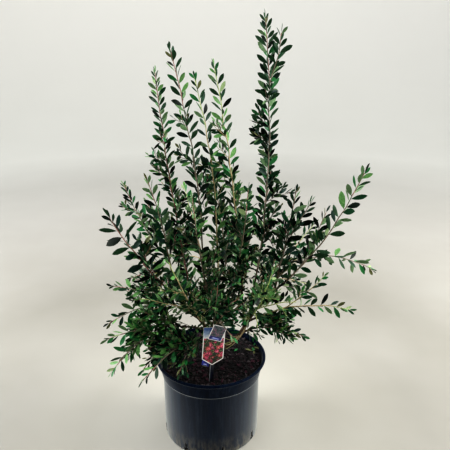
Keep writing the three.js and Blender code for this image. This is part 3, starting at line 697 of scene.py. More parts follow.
def blossom_print():
    """A made-up print: ragged pink and red blossoms with pale middles on dark leaves, duskier
    towards the foot."""
    made = printed("label_print", 0.32)
    foliage = made.ramp(
        made.noise(230, 3, 0.7), (0.34, "0a1812"), (0.47, "22402a"), (0.56, "14281c"), (0.66, "a0ac78"),
    )
    flat = made.node("CombineXYZ", X=made.height("X"), Y=made.height("Z")).outputs["Vector"]
    cells = made.node("TexVoronoi")
    cells.voronoi_dimensions = "2D"
    made.fill(cells, Vector=flat, Scale=56, Randomness=0.9)
    picked = made.node("SeparateColor", Color=cells.outputs["Color"]).outputs["Red"]
    petals = made.ramp(picked, (0.0, "b01848"), (0.35, "e8386c"), (0.60, "90104c"), (0.85, "e0603e"))
    torn = made.range(made.noise(300, 4, 0.8), -0.55, 0.55, 0.3, 0.7)
    missing = made.range(made.noise(62, 2), 0.0, 0.5, 0.50, 0.62)
    ragged = made.math("ADD", made.math("ADD", cells.outputs["Distance"], torn), missing)
    heart = made.ramp(ragged, (0.0, "ffe8e4"), (0.12, "f070a0"), (0.26, "b01c60"))
    disc = made.ramp(ragged, (0.34, "ffffff"), (0.46, "000000"))
    flowers = made.mixed(disc, foliage, made.mixed(0.40, petals, heart))
    dusk = made.range(made.height(), 0.75, 0.0, CARD_BOTTOM, CARD_BOTTOM + PRINT_DUSK)
    return made.colour(made.mixed(dusk, flowers, "8a5078", "MULTIPLY")).material


def sky_print():
    """Blue at the top of the card that pales downwards."""
    made = printed("card_sky")
    level = made.range(made.height(), 0, 1, CARD_TOP - SKY_FADE, CARD_TOP)
    cloud = made.math("ADD", level, made.range(made.noise(90, 3), -0.15, 0.15, 0.3, 0.7))
    return made.colour(made.ramp(cloud, (0.10, "e4e6e6"), (0.45, "9db0c8"), (0.85, "3a5c96"))).material


def dusk_print():
    """A dim print of grey-green leaves with plum and pale patches."""
    made = printed("flap_print", 0.34)
    return made.colour(made.ramp(
        made.noise(120, 4, 0.7),
        (0.34, "18242a"), (0.46, "43525a"), (0.53, "5e6a70"), (0.59, "74365a"), (0.68, "b0a2ac"),
    )).material


def stage_painted_light_finish():
    """Pale paper with painted light and shade by its distance from the plant: painted lighter just
    beside the container, painted darker about a metre out where the low softboxes light the floor most,
    painted lighter further out, and painted lighter where it rises.
    """
    made = Finish("stage_paper_painted_light", 0.85)
    # Painted light and shade by distance from the plant: lighter beside the container, darker about a
    # metre out under the low softboxes, lighter further out.
    floor = made.ramp(
        made.range(made.reach(), 0, 1, 0, PAINTED_SHADING_REACH),
        (0.045, "a19f97"), (0.08, "8e8c84"), (0.14, "807e77"), (0.22, "7c7a73"),
        (0.33, "8d8b85"), (0.46, "9d9b96"), (0.62, "acaba6"), (0.80, "cecec9"),
    )
    cloudy = made.mixed(made.range(made.noise(1.4, 3), 0, 0.04, 0.3, 0.7), floor, "ffffff")
    # Painted light: the paper turns lighter where it rises.
    high = made.range(made.height(), 0, 1, *PAINTED_LIGHT_LEVELS)
    return made.colour(made.mixed(high, cloudy, "edece8")).material


# Meshes from arrays

def add_object(name, mesh, materials):
    piece = bpy.data.objects.new(name, mesh)
    for material in materials:
        mesh.materials.append(material)
    bpy.context.scene.collection.objects.link(piece)
    return piece


def mesh_from(name, vertices, quads, triangles, quad_tones=None, triangle_tones=None):
    """A mesh from arrays of vertices, four-sided and three-sided faces, and their materials."""
    vertices = np.asarray(vertices, np.float32)
    quads = np.asarray(quads, np.int32).reshape(-1, 4)
    triangles = np.asarray(triangles, np.int32).reshape(-1, 3)
    mesh = bpy.data.meshes.new(name)
    mesh.vertices.add(len(vertices))
    mesh.vertices.foreach_set("co", vertices.ravel())
    mesh.loops.add(quads.size + triangles.size)
    mesh.loops.foreach_set("vertex_index", np.concatenate([quads.ravel(), triangles.ravel()]))
    starts = np.concatenate([
        np.arange(len(quads)) * 4,
        quads.size + np.arange(len(triangles)) * 3,
    ]).astype(np.int32)
    mesh.polygons.add(len(starts))
    mesh.polygons.foreach_set("loop_start", starts)
    if quad_tones is not None:
        tones = np.concatenate([quad_tones, triangle_tones]).astype(np.int32)
        mesh.polygons.foreach_set("material_index", tones)
    mesh.polygons.foreach_set("use_smooth", np.ones(len(starts), bool))
    mesh.update(calc_edges=True)
    return mesh


class Shells:
    """Closed shells gathered into one mesh."""

    def __init__(self):
        self.vertices, self.quads, self.triangles = [], [], []
        self.quad_tones, self.triangle_tones = [], []
        self.count = 0

    def add(self, vertices, quads, triangles, quad_tones=0, triangle_tones=0):
        self.vertices.append(vertices)
        self.quads.append(np.asarray(quads).reshape(-1, 4) + self.count)
        self.triangles.append(np.asarray(triangles).reshape(-1, 3) + self.count)
        self.quad_tones.append(np.broadcast_to(quad_tones, len(self.quads[-1])))
        self.triangle_tones.append(np.broadcast_to(triangle_tones, len(self.triangles[-1])))
        self.count += len(vertices)

    def mesh(self, name):
        parts = (self.vertices, self.quads, self.triangles, self.quad_tones, self.triangle_tones)
        return mesh_from(name, *map(np.concatenate, parts))


def tube_faces(rings, sides, inside_out=False):
    """Quads between rings of vertices that follow one another, and triangles from the first and
    the last ring to the two vertices that come after them all."""
    ring = np.arange(sides)
    ahead = (ring + 1) % sides
    last = (rings - 1) * sides
    quads = np.concatenate([
        np.stack([low + ring, low + ahead, low + sides + ahead, low + sides + ring], 1)
        for low in range(0, last, sides)
    ])
    foot, tip = np.full(sides, rings * sides), np.full(sides, rings * sides + 1)
    caps = np.concatenate([
        np.stack([ahead, ring, foot], 1), np.stack([last + ring, last + ahead, tip], 1),
    ])
    return (quads[:, [0, 3, 2, 1]], caps[:, [1, 0, 2]]) if inside_out else (quads, caps)


def sweep(points, radii, sides):
    """A closed round tube along points, with a cap at each end: its vertices, quads and triangles."""
    points = np.array([tuple(p) for p in points])
    radii = np.asarray(radii, float)
    tangents = np.gradient(points, axis=0)
    tangents /= np.linalg.norm(tangents, axis=1, keepdims=True)
    normal = np.cross(tangents[0], SWEEP_SIDE)
    rings = []
    angles = np.arange(sides) * 2 * math.pi / sides
    for point, tangent, radius in zip(points, tangents, radii):
        normal = normal - tangent * normal.dot(tangent)
        normal /= np.linalg.norm(normal)
        other = np.cross(tangent, normal)
        circle = np.outer(np.cos(angles), normal) + np.outer(np.sin(angles), other)
        rings.append(point + circle * radius)
    foot = points[0] - tangents[0] * radii[0] * FOOT_DOME
    tip = points[-1] + tangents[-1] * radii[-1] * TIP_DOME
    return (np.concatenate([*rings, [foot, tip]]), *tube_faces(len(points), sides))


def turned(profile, sides):
    """A closed ring of [radius, height] points turned round the vertical axis: vertices and quads."""
    profile = np.asarray(profile, float)
    angles = np.arange(sides) * 2 * math.pi / sides
    vertices = np.stack([
        np.outer(np.cos(angles), profile[:, 0]),
        np.outer(np.sin(angles), profile[:, 0]),
        np.broadcast_to(profile[:, 1], (sides, len(profile))),
    ], 2).reshape(-1, 3)
    count = len(profile)
    side, step = np.meshgrid(np.arange(sides), np.arange(count), indexing="ij")
    across, along = (side + 1) % sides * count, (step + 1) % count
    quads = np.stack([side * count + step, across + step, across + along, side * count + along], 2)
    return vertices, quads.reshape(-1, 4)


def arc(centre, radius, start, end, count):
    """Points on an arc of a profile, by angles in degrees from straight outwards."""
    angles = [radians(lerp(start, end, i / (count - 1))) for i in range(count)]
    return [(centre[0] + radius * math.cos(a), centre[1] + radius * math.sin(a)) for a in angles]


# The rule of growth

def tip_point(tip):
    """A tip's place from its turn round the trunk, its reach and its height."""
    turn, reach, height = tip
    away = Matrix.Rotation(radians(turn), 3, "Z") @ Vector((reach, 0, height))
    return Vector((PLANT_MIDDLE, 0, 0)) + away


def bend(start, control, end, t):
    """The point at share t of a curve that starts and ends there and heads for its control."""
    return start * (1 - t) ** 2 + control * (2 * t * (1 - t)) + end * t ** 2


def bowed(start, end, bow, ring, seed=0, wander=0.0, lift=UP):
    """Points from start to end on a curve that bulges by bow, a share of its length, upwards or
    the way of lift. They drift from it by wander, and less towards its ends."""
    along = end - start
    length = along.length
    along.normalize()
    lift = (lift - along * lift.dot(along)).normalized()
    control = (start + end) / 2 + lift * (2 * bow * length)
    count = max(3, round(length / ring))
    points = []
    for i in range(count + 1):
        t = i / count
        point = bend(start, control, end, t)
        if wander:
            drift = noise.noise_vector(Vector((seed * WANDER_STEP, t * length * WANDER_SCALE, 0.5)))
            point += drift * wander * min(1, 6 * t * (1 - t))
        points.append(point)
    return points


def leaning(axis, spread, turn):
    """A unit vector that leans away from an axis by a spread, at a turn round that axis."""
    side = UP if abs(axis.z) < 0.95 else Vector((1, 0, 0))
    across = axis.cross(side).normalized()
    over = across.cross(axis).normalized()
    outwards = across * math.cos(turn) + over * math.sin(turn)
    return (axis * math.cos(spread) + outwards * math.sin(spread)).normalized()


def even_share(index, low, high):
    """A small share between low and high that fills evenly however many are drawn."""
    return low + (high - low) * ((0.5 + index * GOLDEN_SHARE) % 1)


class Stem:
    """A centreline with a radius along it, walked by shares of its length."""

    def __init__(self, points, base, tip, wood="brown", flare=None):
        self.points = points
        lengths = [0.0]
        for a, b in zip(points, points[1:]):
            lengths.append(lengths[-1] + (b - a).length)
        self.length = lengths[-1]
        self.shares = [length / self.length for length in lengths]
        self.radii = [flare(share) if flare else lerp(base, tip, share) for share in self.shares]
        self.wood = wood

    def at(self, share):
        """The point, the direction and the radius there."""
        i = min(max(bisect_right(self.shares, share) - 1, 0), len(self.points) - 2)
        a, b = self.points[i], self.points[i + 1]
        inside = (share - self.shares[i]) / (self.shares[i + 1] - self.shares[i])
        radius = lerp(self.radii[i], self.radii[i + 1], inside)
        return a.lerp(b, inside), (b - a).normalized(), radius

    def part(self, low, high, base, tip, wood):
        """The stretch between two shares, as a stem of its own."""
        inner = [p for p, share in zip(self.points, self.shares) if low < share < high]
        return Stem([self.at(low)[0], *inner, self.at(high)[0]], base, tip, wood)


class Space:
    """Remembers where foliage is, so that leaves keep off each other, the pot and the label."""

    def __init__(self):
        self.cells = {}

    def key(self, point):
        return tuple(math.floor(c / CELL) for c in point)

    def fill(self, points):
        for point in points:
            self.cells.setdefault(self.key(point), []).append(point)

    def is_free(self, points):
        return all(self.is_open(point) and not self.is_crowded(point) for point in points)

    def is_crowded(self, point):
        key = self.key(point)
        return any(
            (other - point).length < CLEAR_OF_LEAVES
            for step in NEIGHBOURS
            for other in self.cells.get(tuple(map(add, key, step)), ())
        )

    def is_open(self, point):
        """Over the bark, over the rim or outside the pot, and not in front of the label or in a
        gap that lets the room show through."""
        reach = math.hypot(point.x, point.y)
        floor = BARK_LEVEL
        if reach > LIP_RADIUS + CLEAR_OF_POT:
            floor = 0
        elif reach > inner_radius(BARK_LEVEL) - CLEAR_OF_POT:
            floor = POT_HEIGHT
        if point.z < floor + CLEAR_OF_POT:
            return False
        ahead = LABEL_PLACE.y + VIEW_START - point.y
        middle = (CARD_BOTTOM + FLAP_PLACE.z + FLAP_SIZE[1] / 2) / 2
        high = abs(point.z - middle - VIEW_SLOPE * ahead) < VIEW_HALF_HEIGHT
        wide = abs(point.x - LABEL_PLACE.x) < VIEW_HALF_WIDTH
        return not (0 < ahead < VIEW_DEPTH and high and wide) and not self.is_in_gap(point)

    def is_in_gap(self, point):
        eye_x, eye_y, eye_z = CAMERA_PLACE
        share = (point.y - eye_y) / -eye_y
        return any(
            math.hypot(point.x - lerp(eye_x, x, share), point.z - lerp(eye_z, z, share)) < radius * share
            for x, z, radius in SKY_GAPS
        )


space = Space()
limbs = {}
stems = []
leaves = []


def grow_limbs():
    """The trunk, its limbs and each mass's bough, each kept under its name."""
    noise.seed_set(NOISE_SEED)
    foot_to_top = [TRUNK_FOOT + TRUNK_RISE * (i / TRUNK_RINGS) for i in range(TRUNK_RINGS + 1)]
    flare = lambda share: TRUNK_RADIUS + TRUNK_FLARE * math.exp(-FLARE_FADE * share)
    limbs["trunk"] = Stem(foot_to_top, 0, 0, flare=flare)
    for name, parent, at, tip, bow, radii in LIMBS:
        start = limbs[parent].at(at)[0]
        limbs[name] = Stem(bowed(start, tip_point(tip), bow, BARK_RING), *radii)
    for index, m in enumerate(MASSES):
        main = m["arms"][0]
        start = (limbs.get(m["parent"]) or limbs[m["parent"] + "_bough"]).at(m["at"])[0]
        points = bowed(start, tip_point(main["tip"]), main["bow"], BARK_RING, index + 1, STEM_WANDER)
        whole = Stem(points, 0, 0)
        limbs[m["name"] + "_bough"] = whole.part(0, m["bare"], *BOUGH_RADII, m["wood"])
        m["main"] = whole.part(m["bare"], 1, BOUGH_RADII[1], STEM_TIP_RADIUS, m["wood"])


def grow_arms(m, index):
    """The mass's leafy stems: the first carries on from its bough, and the others leave it."""
    found = [m["main"]]
    for order, one in enumerate(m["arms"][1:], 1):
        start = m["main"].at(one["start"])[0]
        seed = ARM_DRIFT_SEED * (index + 1) + order
        points = bowed(start, tip_point(one["tip"]), one["bow"], STEM_RING, seed, STEM_WANDER)
        found.append(Stem(points, ARM_BASE_RADIUS, STEM_TIP_RADIUS, m["wood"]))
    return found


def grow_twigs(stem, one, seed, finer, wood, shares=TWIG_SHARES):
    """Side twigs leave a stem in turn round it, longest near its foot."""
    grown = []
    for i in range(one["twigs"] * finer):
        draw = seeded(seed + i)
        share = even_share(i, *shares)
        if share > one["habit"][-1]:
            continue
        root, axis, _ = stem.at(share)
        turn = radians(GOLDEN_ANGLE * i + TWIG_TURN_DRAW * draw())
        spread = TWIG_SPREAD if i < one["twigs"] else FINE_TWIG_SPREAD
        direction = leaning(axis, radians(spread[0] + spread[1] * draw()), turn)
        shortened = one["reach"] * (1 - TWIG_SHORTENING * share)
        length = shortened * (TWIG_LENGTH_DRAW[0] + TWIG_LENGTH_DRAW[1] * draw())
        end = root + direction * length
        points = bowed(root, end, TWIG_BOW, TWIG_RING, seed + i, STEM_WANDER / 2, direction - axis)
        if space.is_free(points[2:]):
            space.fill(points[1:])
            grown.append(Stem(points, TWIG_BASE_RADIUS, TWIG_TIP_RADIUS, wood))
    return grown


def grow_sprigs(twig, seed):
    """A twig that is long enough forks into shorter sprigs."""
    grown = []
    if twig.length < SHORTEST_FORKED:
        return grown
    for order, share in enumerate(SPRIG_SHARES):
        draw = seeded(seed + SPRIG_SEED * order)
        root, axis, _ = twig.at(share)
        turn = radians(GOLDEN_ANGLE * (order + SPRIG_TURN_DRAW * draw()))
        direction = leaning(axis, radians(SPRIG_SPREAD[0] + SPRIG_SPREAD[1] * draw()), turn)
        length = twig.length * SPRIG_LENGTH * (SPRIG_LENGTH_DRAW[0] + SPRIG_LENGTH_DRAW[1] * draw())
        points = bowed(root, root + direction * length, TWIG_BOW, TWIG_RING, lift=direction - axis)
        if space.is_free(points[1:]):
            space.fill(points[1:])
            grown.append(Stem(points, *SPRIG_RADII, twig.wood))
    return grown


def pick_tone(weights, drawn):
    """The place of the weight that a draw between 0 and 1 falls on."""
    total = 0.0
    for index, weight in enumerate(weights):
        total += weight
        if drawn < total:
            return index
    return 1


def grow_leaves(stem, seed, spacing, size, m, habit):
    """Leaves climb a stem in a spiral, smaller and closer together towards its tip."""
    larger, looser, usual_spread, _ = habit
    size *= larger
    new_tone = LEAF_TONES.index("leaf_fresh" if m["tone"] == "fresh" else "leaf_young")
    count = max(3, round(stem.length / (spacing * looser)))
    taper = min(TAPER_LENGTH, stem.length * TAPER_SHARE)
    for i in range(1, count + 1):
        draw = seeded(seed + i)
        share = 1 - (1 - (i - LEAF_OFFSET) / (count - LEAF_OFFSET)) ** TIP_CROWDING
        share = min(share, LAST_LEAF_PLACE)
        root, axis, radius = stem.at(share)
        near_tip = 1 - smoothstep(0, taper, stem.length * (1 - share))
        spread = TIP_LEAF_SPREAD
        if i < count:
            spread = lerp(usual_spread, TIP_SPREAD, near_tip) + SPREAD_DRAW * (draw() - 0.5)
        by_height = lerp(LOW_LEAF_SIZE, HIGH_LEAF_SIZE, smoothstep(*SIZE_LEVELS, root.z))
        length = LEAF_LENGTH * size * by_height * lerp(1, TIP_LEAF_SHARE, near_tip)
        length *= LENGTH_DRAW[0] + LENGTH_DRAW[1] * draw()
        twist = radians(LEAF_TWIST * (2 * draw() - 1))
        arch = LEAF_ARCH * lerp(*ARCH_RANGE, draw())
        side_sweep = LEAF_SWEEP * (2 * draw() - 1)
        width = LEAF_WIDTH * length / LEAF_LENGTH * lerp(*LEAF_BREADTHS, draw())
        tone = pick_tone(SPRAY_WEIGHTS[m["tone"]], draw())
        if near_tip > NEW_LEAF_ZONE and draw() < NEW_LEAF_SHARE:
            tone = new_tone
        flip = draw()
        for attempt in range(TURNS_TRIED):
            turn = radians(GOLDEN_ANGLE * (i + attempt * GOLDEN_SHARE))
            direction = leaning(axis, radians(spread), turn)
            marks = [root + direction * (length * mark) for mark in LEAF_MARKS]
            if not space.is_free(marks):
                continue
            space.fill(marks)
            facing = axis.cross(direction).normalized()
            facing.rotate(Matrix.Rotation(twist, 3, direction))
            edge_on = abs(facing.z) < EDGE_ON and flip < EDGE_ON_TURNED_SHARE
            if edge_on or facing.z < 0 and flip < UPTURNED_SHARE:
                facing.negate()
            leaves.append({
                "group": m["group"], "root": root + direction * radius * LEAF_SEAT,
                "direction": direction, "facing": facing, "length": length, "width": width,
                "arch": arch, "sweep": side_sweep, "tone": tone,
            })
            break


def clothe_twigs(twigs, seed, m, habit):
    """Forks each twig into sprigs and sets leaves along them all."""
    for number, twig in enumerate(twigs):
        twig_seed = seed + TWIG_SEED * (number + 1)
        stems.append((m["group"], twig, TWIG_SIDES))
        sprigs = grow_sprigs(twig, twig_seed + FORK_SEED)
        grow_leaves(twig, twig_seed, TWIG_LEAF_SPACING, TWIG_LEAF_SIZE, m, habit)
        for place, sprig in enumerate(sprigs):
            stems.append((m["group"], sprig, TWIG_SIDES))
            sprig_seed = twig_seed + SPRIG_LEAF_SEEDS[0] + SPRIG_LEAF_SEEDS[1] * place
            grow_leaves(sprig, sprig_seed, TWIG_LEAF_SPACING, SPRIG_LEAF_SIZE, m, habit)


def grow_mass(m, index):
    """One mass: leafy stems first, then their twigs, and last the twigs on its bough."""
    arms = grow_arms(m, index)
    for stem in arms:
        space.fill(stem.points[::2])
    for order, (stem, one) in enumerate(zip(arms, m["arms"])):
        seed = MASS_SEED * (index + 1) + ARM_SEED * order
        stems.append((m["group"], stem, STEM_SIDES))
        twigs = grow_twigs(stem, one, seed, m["finer"], m["wood"])
        grow_leaves(stem, seed, ARM_LEAF_SPACING, 1, m, one["habit"])
        clothe_twigs(twigs, seed, m, one["habit"])
    low = {"twigs": BOUGH_TWIGS[m["group"]], "reach": BOUGH_TWIG_REACH, "habit": HEART}
    seed = MASS_SEED * (index + 1) + BOUGH_SEED
    bough = limbs[m["name"] + "_bough"]
    clothe_twigs(grow_twigs(bough, low, seed, 1, m["wood"], BOUGH_TWIG_SHARES), seed, m, HEART)


def drop_litter():
    """Old leaves that lie on the bark: three in four of them at one spot on the right of its
    back, and the others anywhere."""
    for i in range(LITTER_COUNT):
        draw = seeded(LITTER_SEED + i)
        near, spread = (LITTER_PLACE, LITTER_SPREAD) if i % 4 else ((0, 0), STRAY_LITTER_SPREAD)
        reach = spread * math.sqrt(draw())
        turn = 2 * math.pi * draw()
        x, y = near[0] + reach * math.cos(turn), near[1] + reach * math.sin(turn)
        heading = LITTER_SPIN * turn
        lean = Vector((math.cos(heading), math.sin(heading), LITTER_TILT * draw())).normalized()
        facing = lean.cross(UP).cross(lean) + lean.cross(UP) * (draw() - 0.5)
        length = LEAF_LENGTH * lerp(*LITTER_SIZES, draw())
        leaves.append({
            "group": "front", "root": Vector((x, y, bark_height(x, y) + LITTER_LIFT)),
            "direction": lean, "facing": facing.normalized(),
            "length": length, "width": LEAF_WIDTH * length / LEAF_LENGTH,
            "arch": LITTER_ARCH, "sweep": LITTER_SWEEP,
            "tone": LEAF_TONES.index("leaf_young" if i % 3 else "leaf_mid"),
        })


def grow_bare_twigs():
    """A few old leafless twigs hang forwards from the right limb, beside the label."""
    for i in range(BARE_TWIGS):
        draw = seeded(BARE_TWIG_SEED + i)
        root = limbs["right_limb"].at(lerp(*BARE_TWIG_ROOTS, (i + draw()) / BARE_TWIGS))[0]
        end = Vector([lerp(low, high, draw()) for low, high in BARE_TWIG_ENDS])
        seed = BARE_TWIG_DRIFT_SEED + i
        points = bowed(root, end, BARE_TWIG_BOW, TWIG_RING / 2, seed, STEM_WANDER, BARE_TWIG_SAG)
        stems.append(("right", Stem(points, *BARE_TWIG_RADII, "tan"), TWIG_SIDES))


# Leaves and stems as joined pieces

def blade_faces():
    """One leaf's faces by the order of its vertices: left, top, right and bottom at each station."""
    last = 4 * (len(LEAF_STATIONS) - 1)
    quads, upper = [], []
    for a in range(0, last, 4):
        b = a + 4
        quads += [(a, a + 1, b + 1, b), (a + 1, a + 2, b + 2, b + 1),
                  (a + 2, a + 3, b + 3, b + 2), (a + 3, a, b, b + 3)]
        upper += [1, 1, 0, 0]
    quads.append((0, 3, 2, 1))
    upper.append(0)
    triangles = [(last + i, last + (i + 1) % 4, last + 4) for i in range(4)]
    return np.array(quads), np.array(upper), np.array(triangles), np.array([1, 1, 0, 0])


def blades(batch):
    """Vertices of many leaves: closed blades, folded along the midrib and arched to the tip."""
    column = lambda key: np.array([tuple(leaf[key]) for leaf in batch])[:, None, :]
    number = lambda key: np.array([leaf[key] for leaf in batch])[:, None, None]
    root, direction, facing = column("root"), column("direction"), column("facing")
    across = np.cross(direction, facing)
    length, width = number("length"), number("width")
    along = np.array(LEAF_STATIONS + (1.0,))[None, :, None]
    half = np.array(LEAF_HALF_WIDTHS + (0.0,))[None, :, None] * width / 2
    centre = root + direction * length * along
    centre = centre - facing * length * number("arch") * along ** 2
    centre = centre + across * length * number("sweep") * along ** 2
    raised = facing * half * LEAF_FOLD
    depth = facing * LEAF_THICKNESS * np.minimum(1, half / (LEAF_WIDTH / 4))
    left, right = centre - across * half + raised, centre + across * half + raised
    rings = np.stack([left, centre, right, centre - depth], 2)
    count = len(LEAF_STATIONS)
    body = rings[:, :count].reshape(len(batch), count * 4, 3)
    return np.concatenate([body, centre[:, count:]], 1)


def leaf_piece(name, batch, materials):
    """Every leaf of a group as one mesh, with its rims kept crisp."""
    quads, upper, triangles, upper_tips = blade_faces()
    vertices = blades(batch)
    size = vertices.shape[1]
    starts = (np.arange(len(batch)) * size)[:, None, None]
    tones = np.array([leaf["tone"] for leaf in batch])[:, None]
    undersides = np.where(tones < DARK_TONES, DARK_UNDERSIDE, PALE_UNDERSIDE)
    mesh = mesh_from(
        name, vertices.reshape(-1, 3),
        (quads[None] + starts).reshape(-1, 4), (triangles[None] + starts).reshape(-1, 3),
        np.where(upper[None] == 1, tones, undersides).ravel(),
        np.where(upper_tips[None] == 1, tones, undersides).ravel(),
    )
    place = np.arange(size)
    is_rim = (place % 4 == 0) | (place % 4 == 2)
    ends = np.empty(len(mesh.edges) * 2, np.int32)
    mesh.edges.foreach_get("vertices", ends)
    sharp = is_rim[ends.reshape(-1, 2) % size].all(1)
    mesh.attributes.new("sharp_edge", "BOOLEAN", "EDGE").data.foreach_set("value", sharp)
    return add_object(name, mesh, materials)


def stem_piece(name, batch, materials):
    """Every leafy stem and twig of a group as one mesh; new wood near a tip is red or green."""
    shells = Shells()
    for stem, sides in batch:
        old = STEM_TONES.index("stem_" + stem.wood)
        new = STEM_TONES.index("stem_red" if stem.wood in ("red", "brown") else "stem_green")
        rings = np.repeat(np.array(stem.shares[:-1]), sides)
        tones = np.where(rings > NEW_WOOD_FROM, new, old)
        shells.add(*sweep(stem.points, stem.radii, sides), tones, old)
    return add_object(name, shells.mesh(name), materials)


def bark_piece():
    """Trunk, limbs and boughs fused into one skin, with furrows that run along each limb."""
    shells = Shells()
    tree = KDTree(sum(len(limb.points) for limb in limbs.values()))
    marks = []
    for limb in limbs.values():
        shells.add(*sweep(limb.points, limb.radii, BARK_SIDES))
        for i, point in enumerate(limb.points):
            tree.insert(point, len(marks))
            ahead = limb.points[min(i + 1, len(limb.points) - 1)]
            behind = limb.points[max(i - 1, 0)]
            marks.append(((ahead - behind).normalized(), limb.radii[i]))
    tree.balance()
    piece = add_object("woody_frame", shells.mesh("woody_frame"), [bark_finish()])
    skin = piece.modifiers.new("skin", "REMESH")
    skin.mode = "VOXEL"
    skin.voxel_size = BARK_VOXEL
    piece.modifiers.new("soften", "SMOOTH").iterations = 3
    apply_modifiers(piece)
    mesh = piece.data
    for vertex in mesh.vertices:
        place, index, _ = tree.find(vertex.co)
        tangent, radius = marks[index]
        away = vertex.co - place
        outwards = (away - tangent * away.dot(tangent)).normalized()
        lengthwise = tangent * vertex.co.dot(tangent)
        grain = FINE_GRAIN if radius < THIN_WOOD else COARSE_GRAIN
        furrow = 1 - abs(noise.noise((vertex.co - lengthwise * GRAIN_STRETCH) * grain)) * 2
        relief = FURROW_SHARE * (furrow - FURROW_LEVEL)
        relief += LUMP_SHARE * noise.noise(vertex.co * LUMP_SCALE)
        relief += KNOT_SHARE * noise.noise(vertex.co * KNOT_SCALE)
        vertex.co += outwards * radius * relief
    mesh.polygons.foreach_set("use_smooth", np.ones(len(mesh.polygons), bool))
    mesh.update()
    return piece


def apply_modifiers(piece):
    """Bakes a piece's modifiers into its mesh."""
    shape = bpy.data.meshes.new_from_object(piece.evaluated_get(bpy.context.evaluated_depsgraph_get()))
    piece.modifiers.clear()
    piece.data = shape


# Container and potting bark

def wall_radius(height):
    """The outside: a body that widens a little up to the step, and a flared collar above it."""
    if height < STEP_LEVEL:
        return lerp(FOOT_RADIUS, COLLAR_FOOT_RADIUS - STEP_IN, height / STEP_LEVEL)
    share = (height - STEP_LEVEL) / (COLLAR_TOP - STEP_LEVEL)
    return lerp(COLLAR_FOOT_RADIUS, COLLAR_RADIUS, share)


def inner_radius(height):
    """The inside of the collar, straight from the step to the lip."""
    share = (height - STEP_LEVEL) / (RIM_LEVEL - STEP_LEVEL)
    return lerp(COLLAR_FOOT_RADIUS, COLLAR_RADIUS, share) - POT_WALL


def pot_profile():
    """Up the outside from the foot's recess to the rolled lip, and down the inside."""
    step, under = STEP_LEVEL, COLLAR_TOP
    body = COLLAR_FOOT_RADIUS - STEP_IN
    roll = LIP_HEIGHT / 2
    foot = FOOT_RADIUS - FOOT_ROUNDING
    ring = foot - FOOT_RING
    outside = [
        (AXIS_HOLE, FOOT_RECESS), (ring - FOOT_RECESS, FOOT_RECESS), (ring, 0.0005),
        (ring + 0.001, 0), (foot, 0),
        *arc((foot, FOOT_ROUNDING), FOOT_ROUNDING, -80, 0, 7),
        *[(wall_radius(h * step), h * step) for h in (0.10, 0.25, 0.40, 0.55, 0.70, 0.85, 0.95)],
        (body, step - 2 * STEP_IN), (body + 0.0004, step - STEP_IN * 1.2),
        (COLLAR_FOOT_RADIUS - 0.0010, step - 0.0006), (COLLAR_FOOT_RADIUS - 0.0002, step + 0.0002),
        *arc((COLLAR_FOOT_RADIUS - 0.0002, step + 0.0018), RIDGE, -70, 70, 6),
        *[(wall_radius(step + h), step + h) for h in (0.0034, 0.015, 0.030, 0.045)],
        (COLLAR_RADIUS - 0.0008, under - 0.003), (COLLAR_RADIUS + 0.0003, under - 0.0008),
        *arc((LIP_RADIUS - roll, under + roll), roll, -80, 90, 10),
    ]
    soft = INNER_RIM_ROUNDING
    inside = [
        *arc((COLLAR_RADIUS - POT_WALL + soft, POT_HEIGHT - soft), soft, 100, 180, 5),
        *[(inner_radius(step + h), step + h) for h in (0.056, 0.040, 0.020, 0.002)],
        *[(wall_radius(h * step) - POT_WALL, h * step) for h in (0.7, 0.4, 0.1)],
        (FOOT_RADIUS - 2 * POT_WALL, FOOT_RECESS + POT_WALL), (AXIS_HOLE, FOOT_RECESS + POT_WALL),
    ]
    return outside + inside


def box_shell(size, place, turn):
    """A box of a size, moved to a place and then turned round the vertical axis."""
    corners = np.array(list(product((-0.5, 0.5), repeat=3))) * size + place
    c, s = math.cos(turn), math.sin(turn)
    corners = corners @ np.array([(c, s, 0), (-s, c, 0), (0, 0, 1)])
    quads = [(0, 1, 3, 2), (4, 6, 7, 5), (0, 4, 5, 1), (2, 3, 7, 6), (0, 2, 6, 4), (1, 5, 7, 3)]
    return corners, quads


def cut_away(piece, boxes):
    """Cuts closed boxes out of a piece."""
    cutter = add_object("cutter", boxes.mesh("cutter"), [])
    cut = piece.modifiers.new("cut", "BOOLEAN")
    cut.operation = "DIFFERENCE"
    cut.object = cutter
    apply_modifiers(piece)
    bpy.data.objects.remove(cutter)


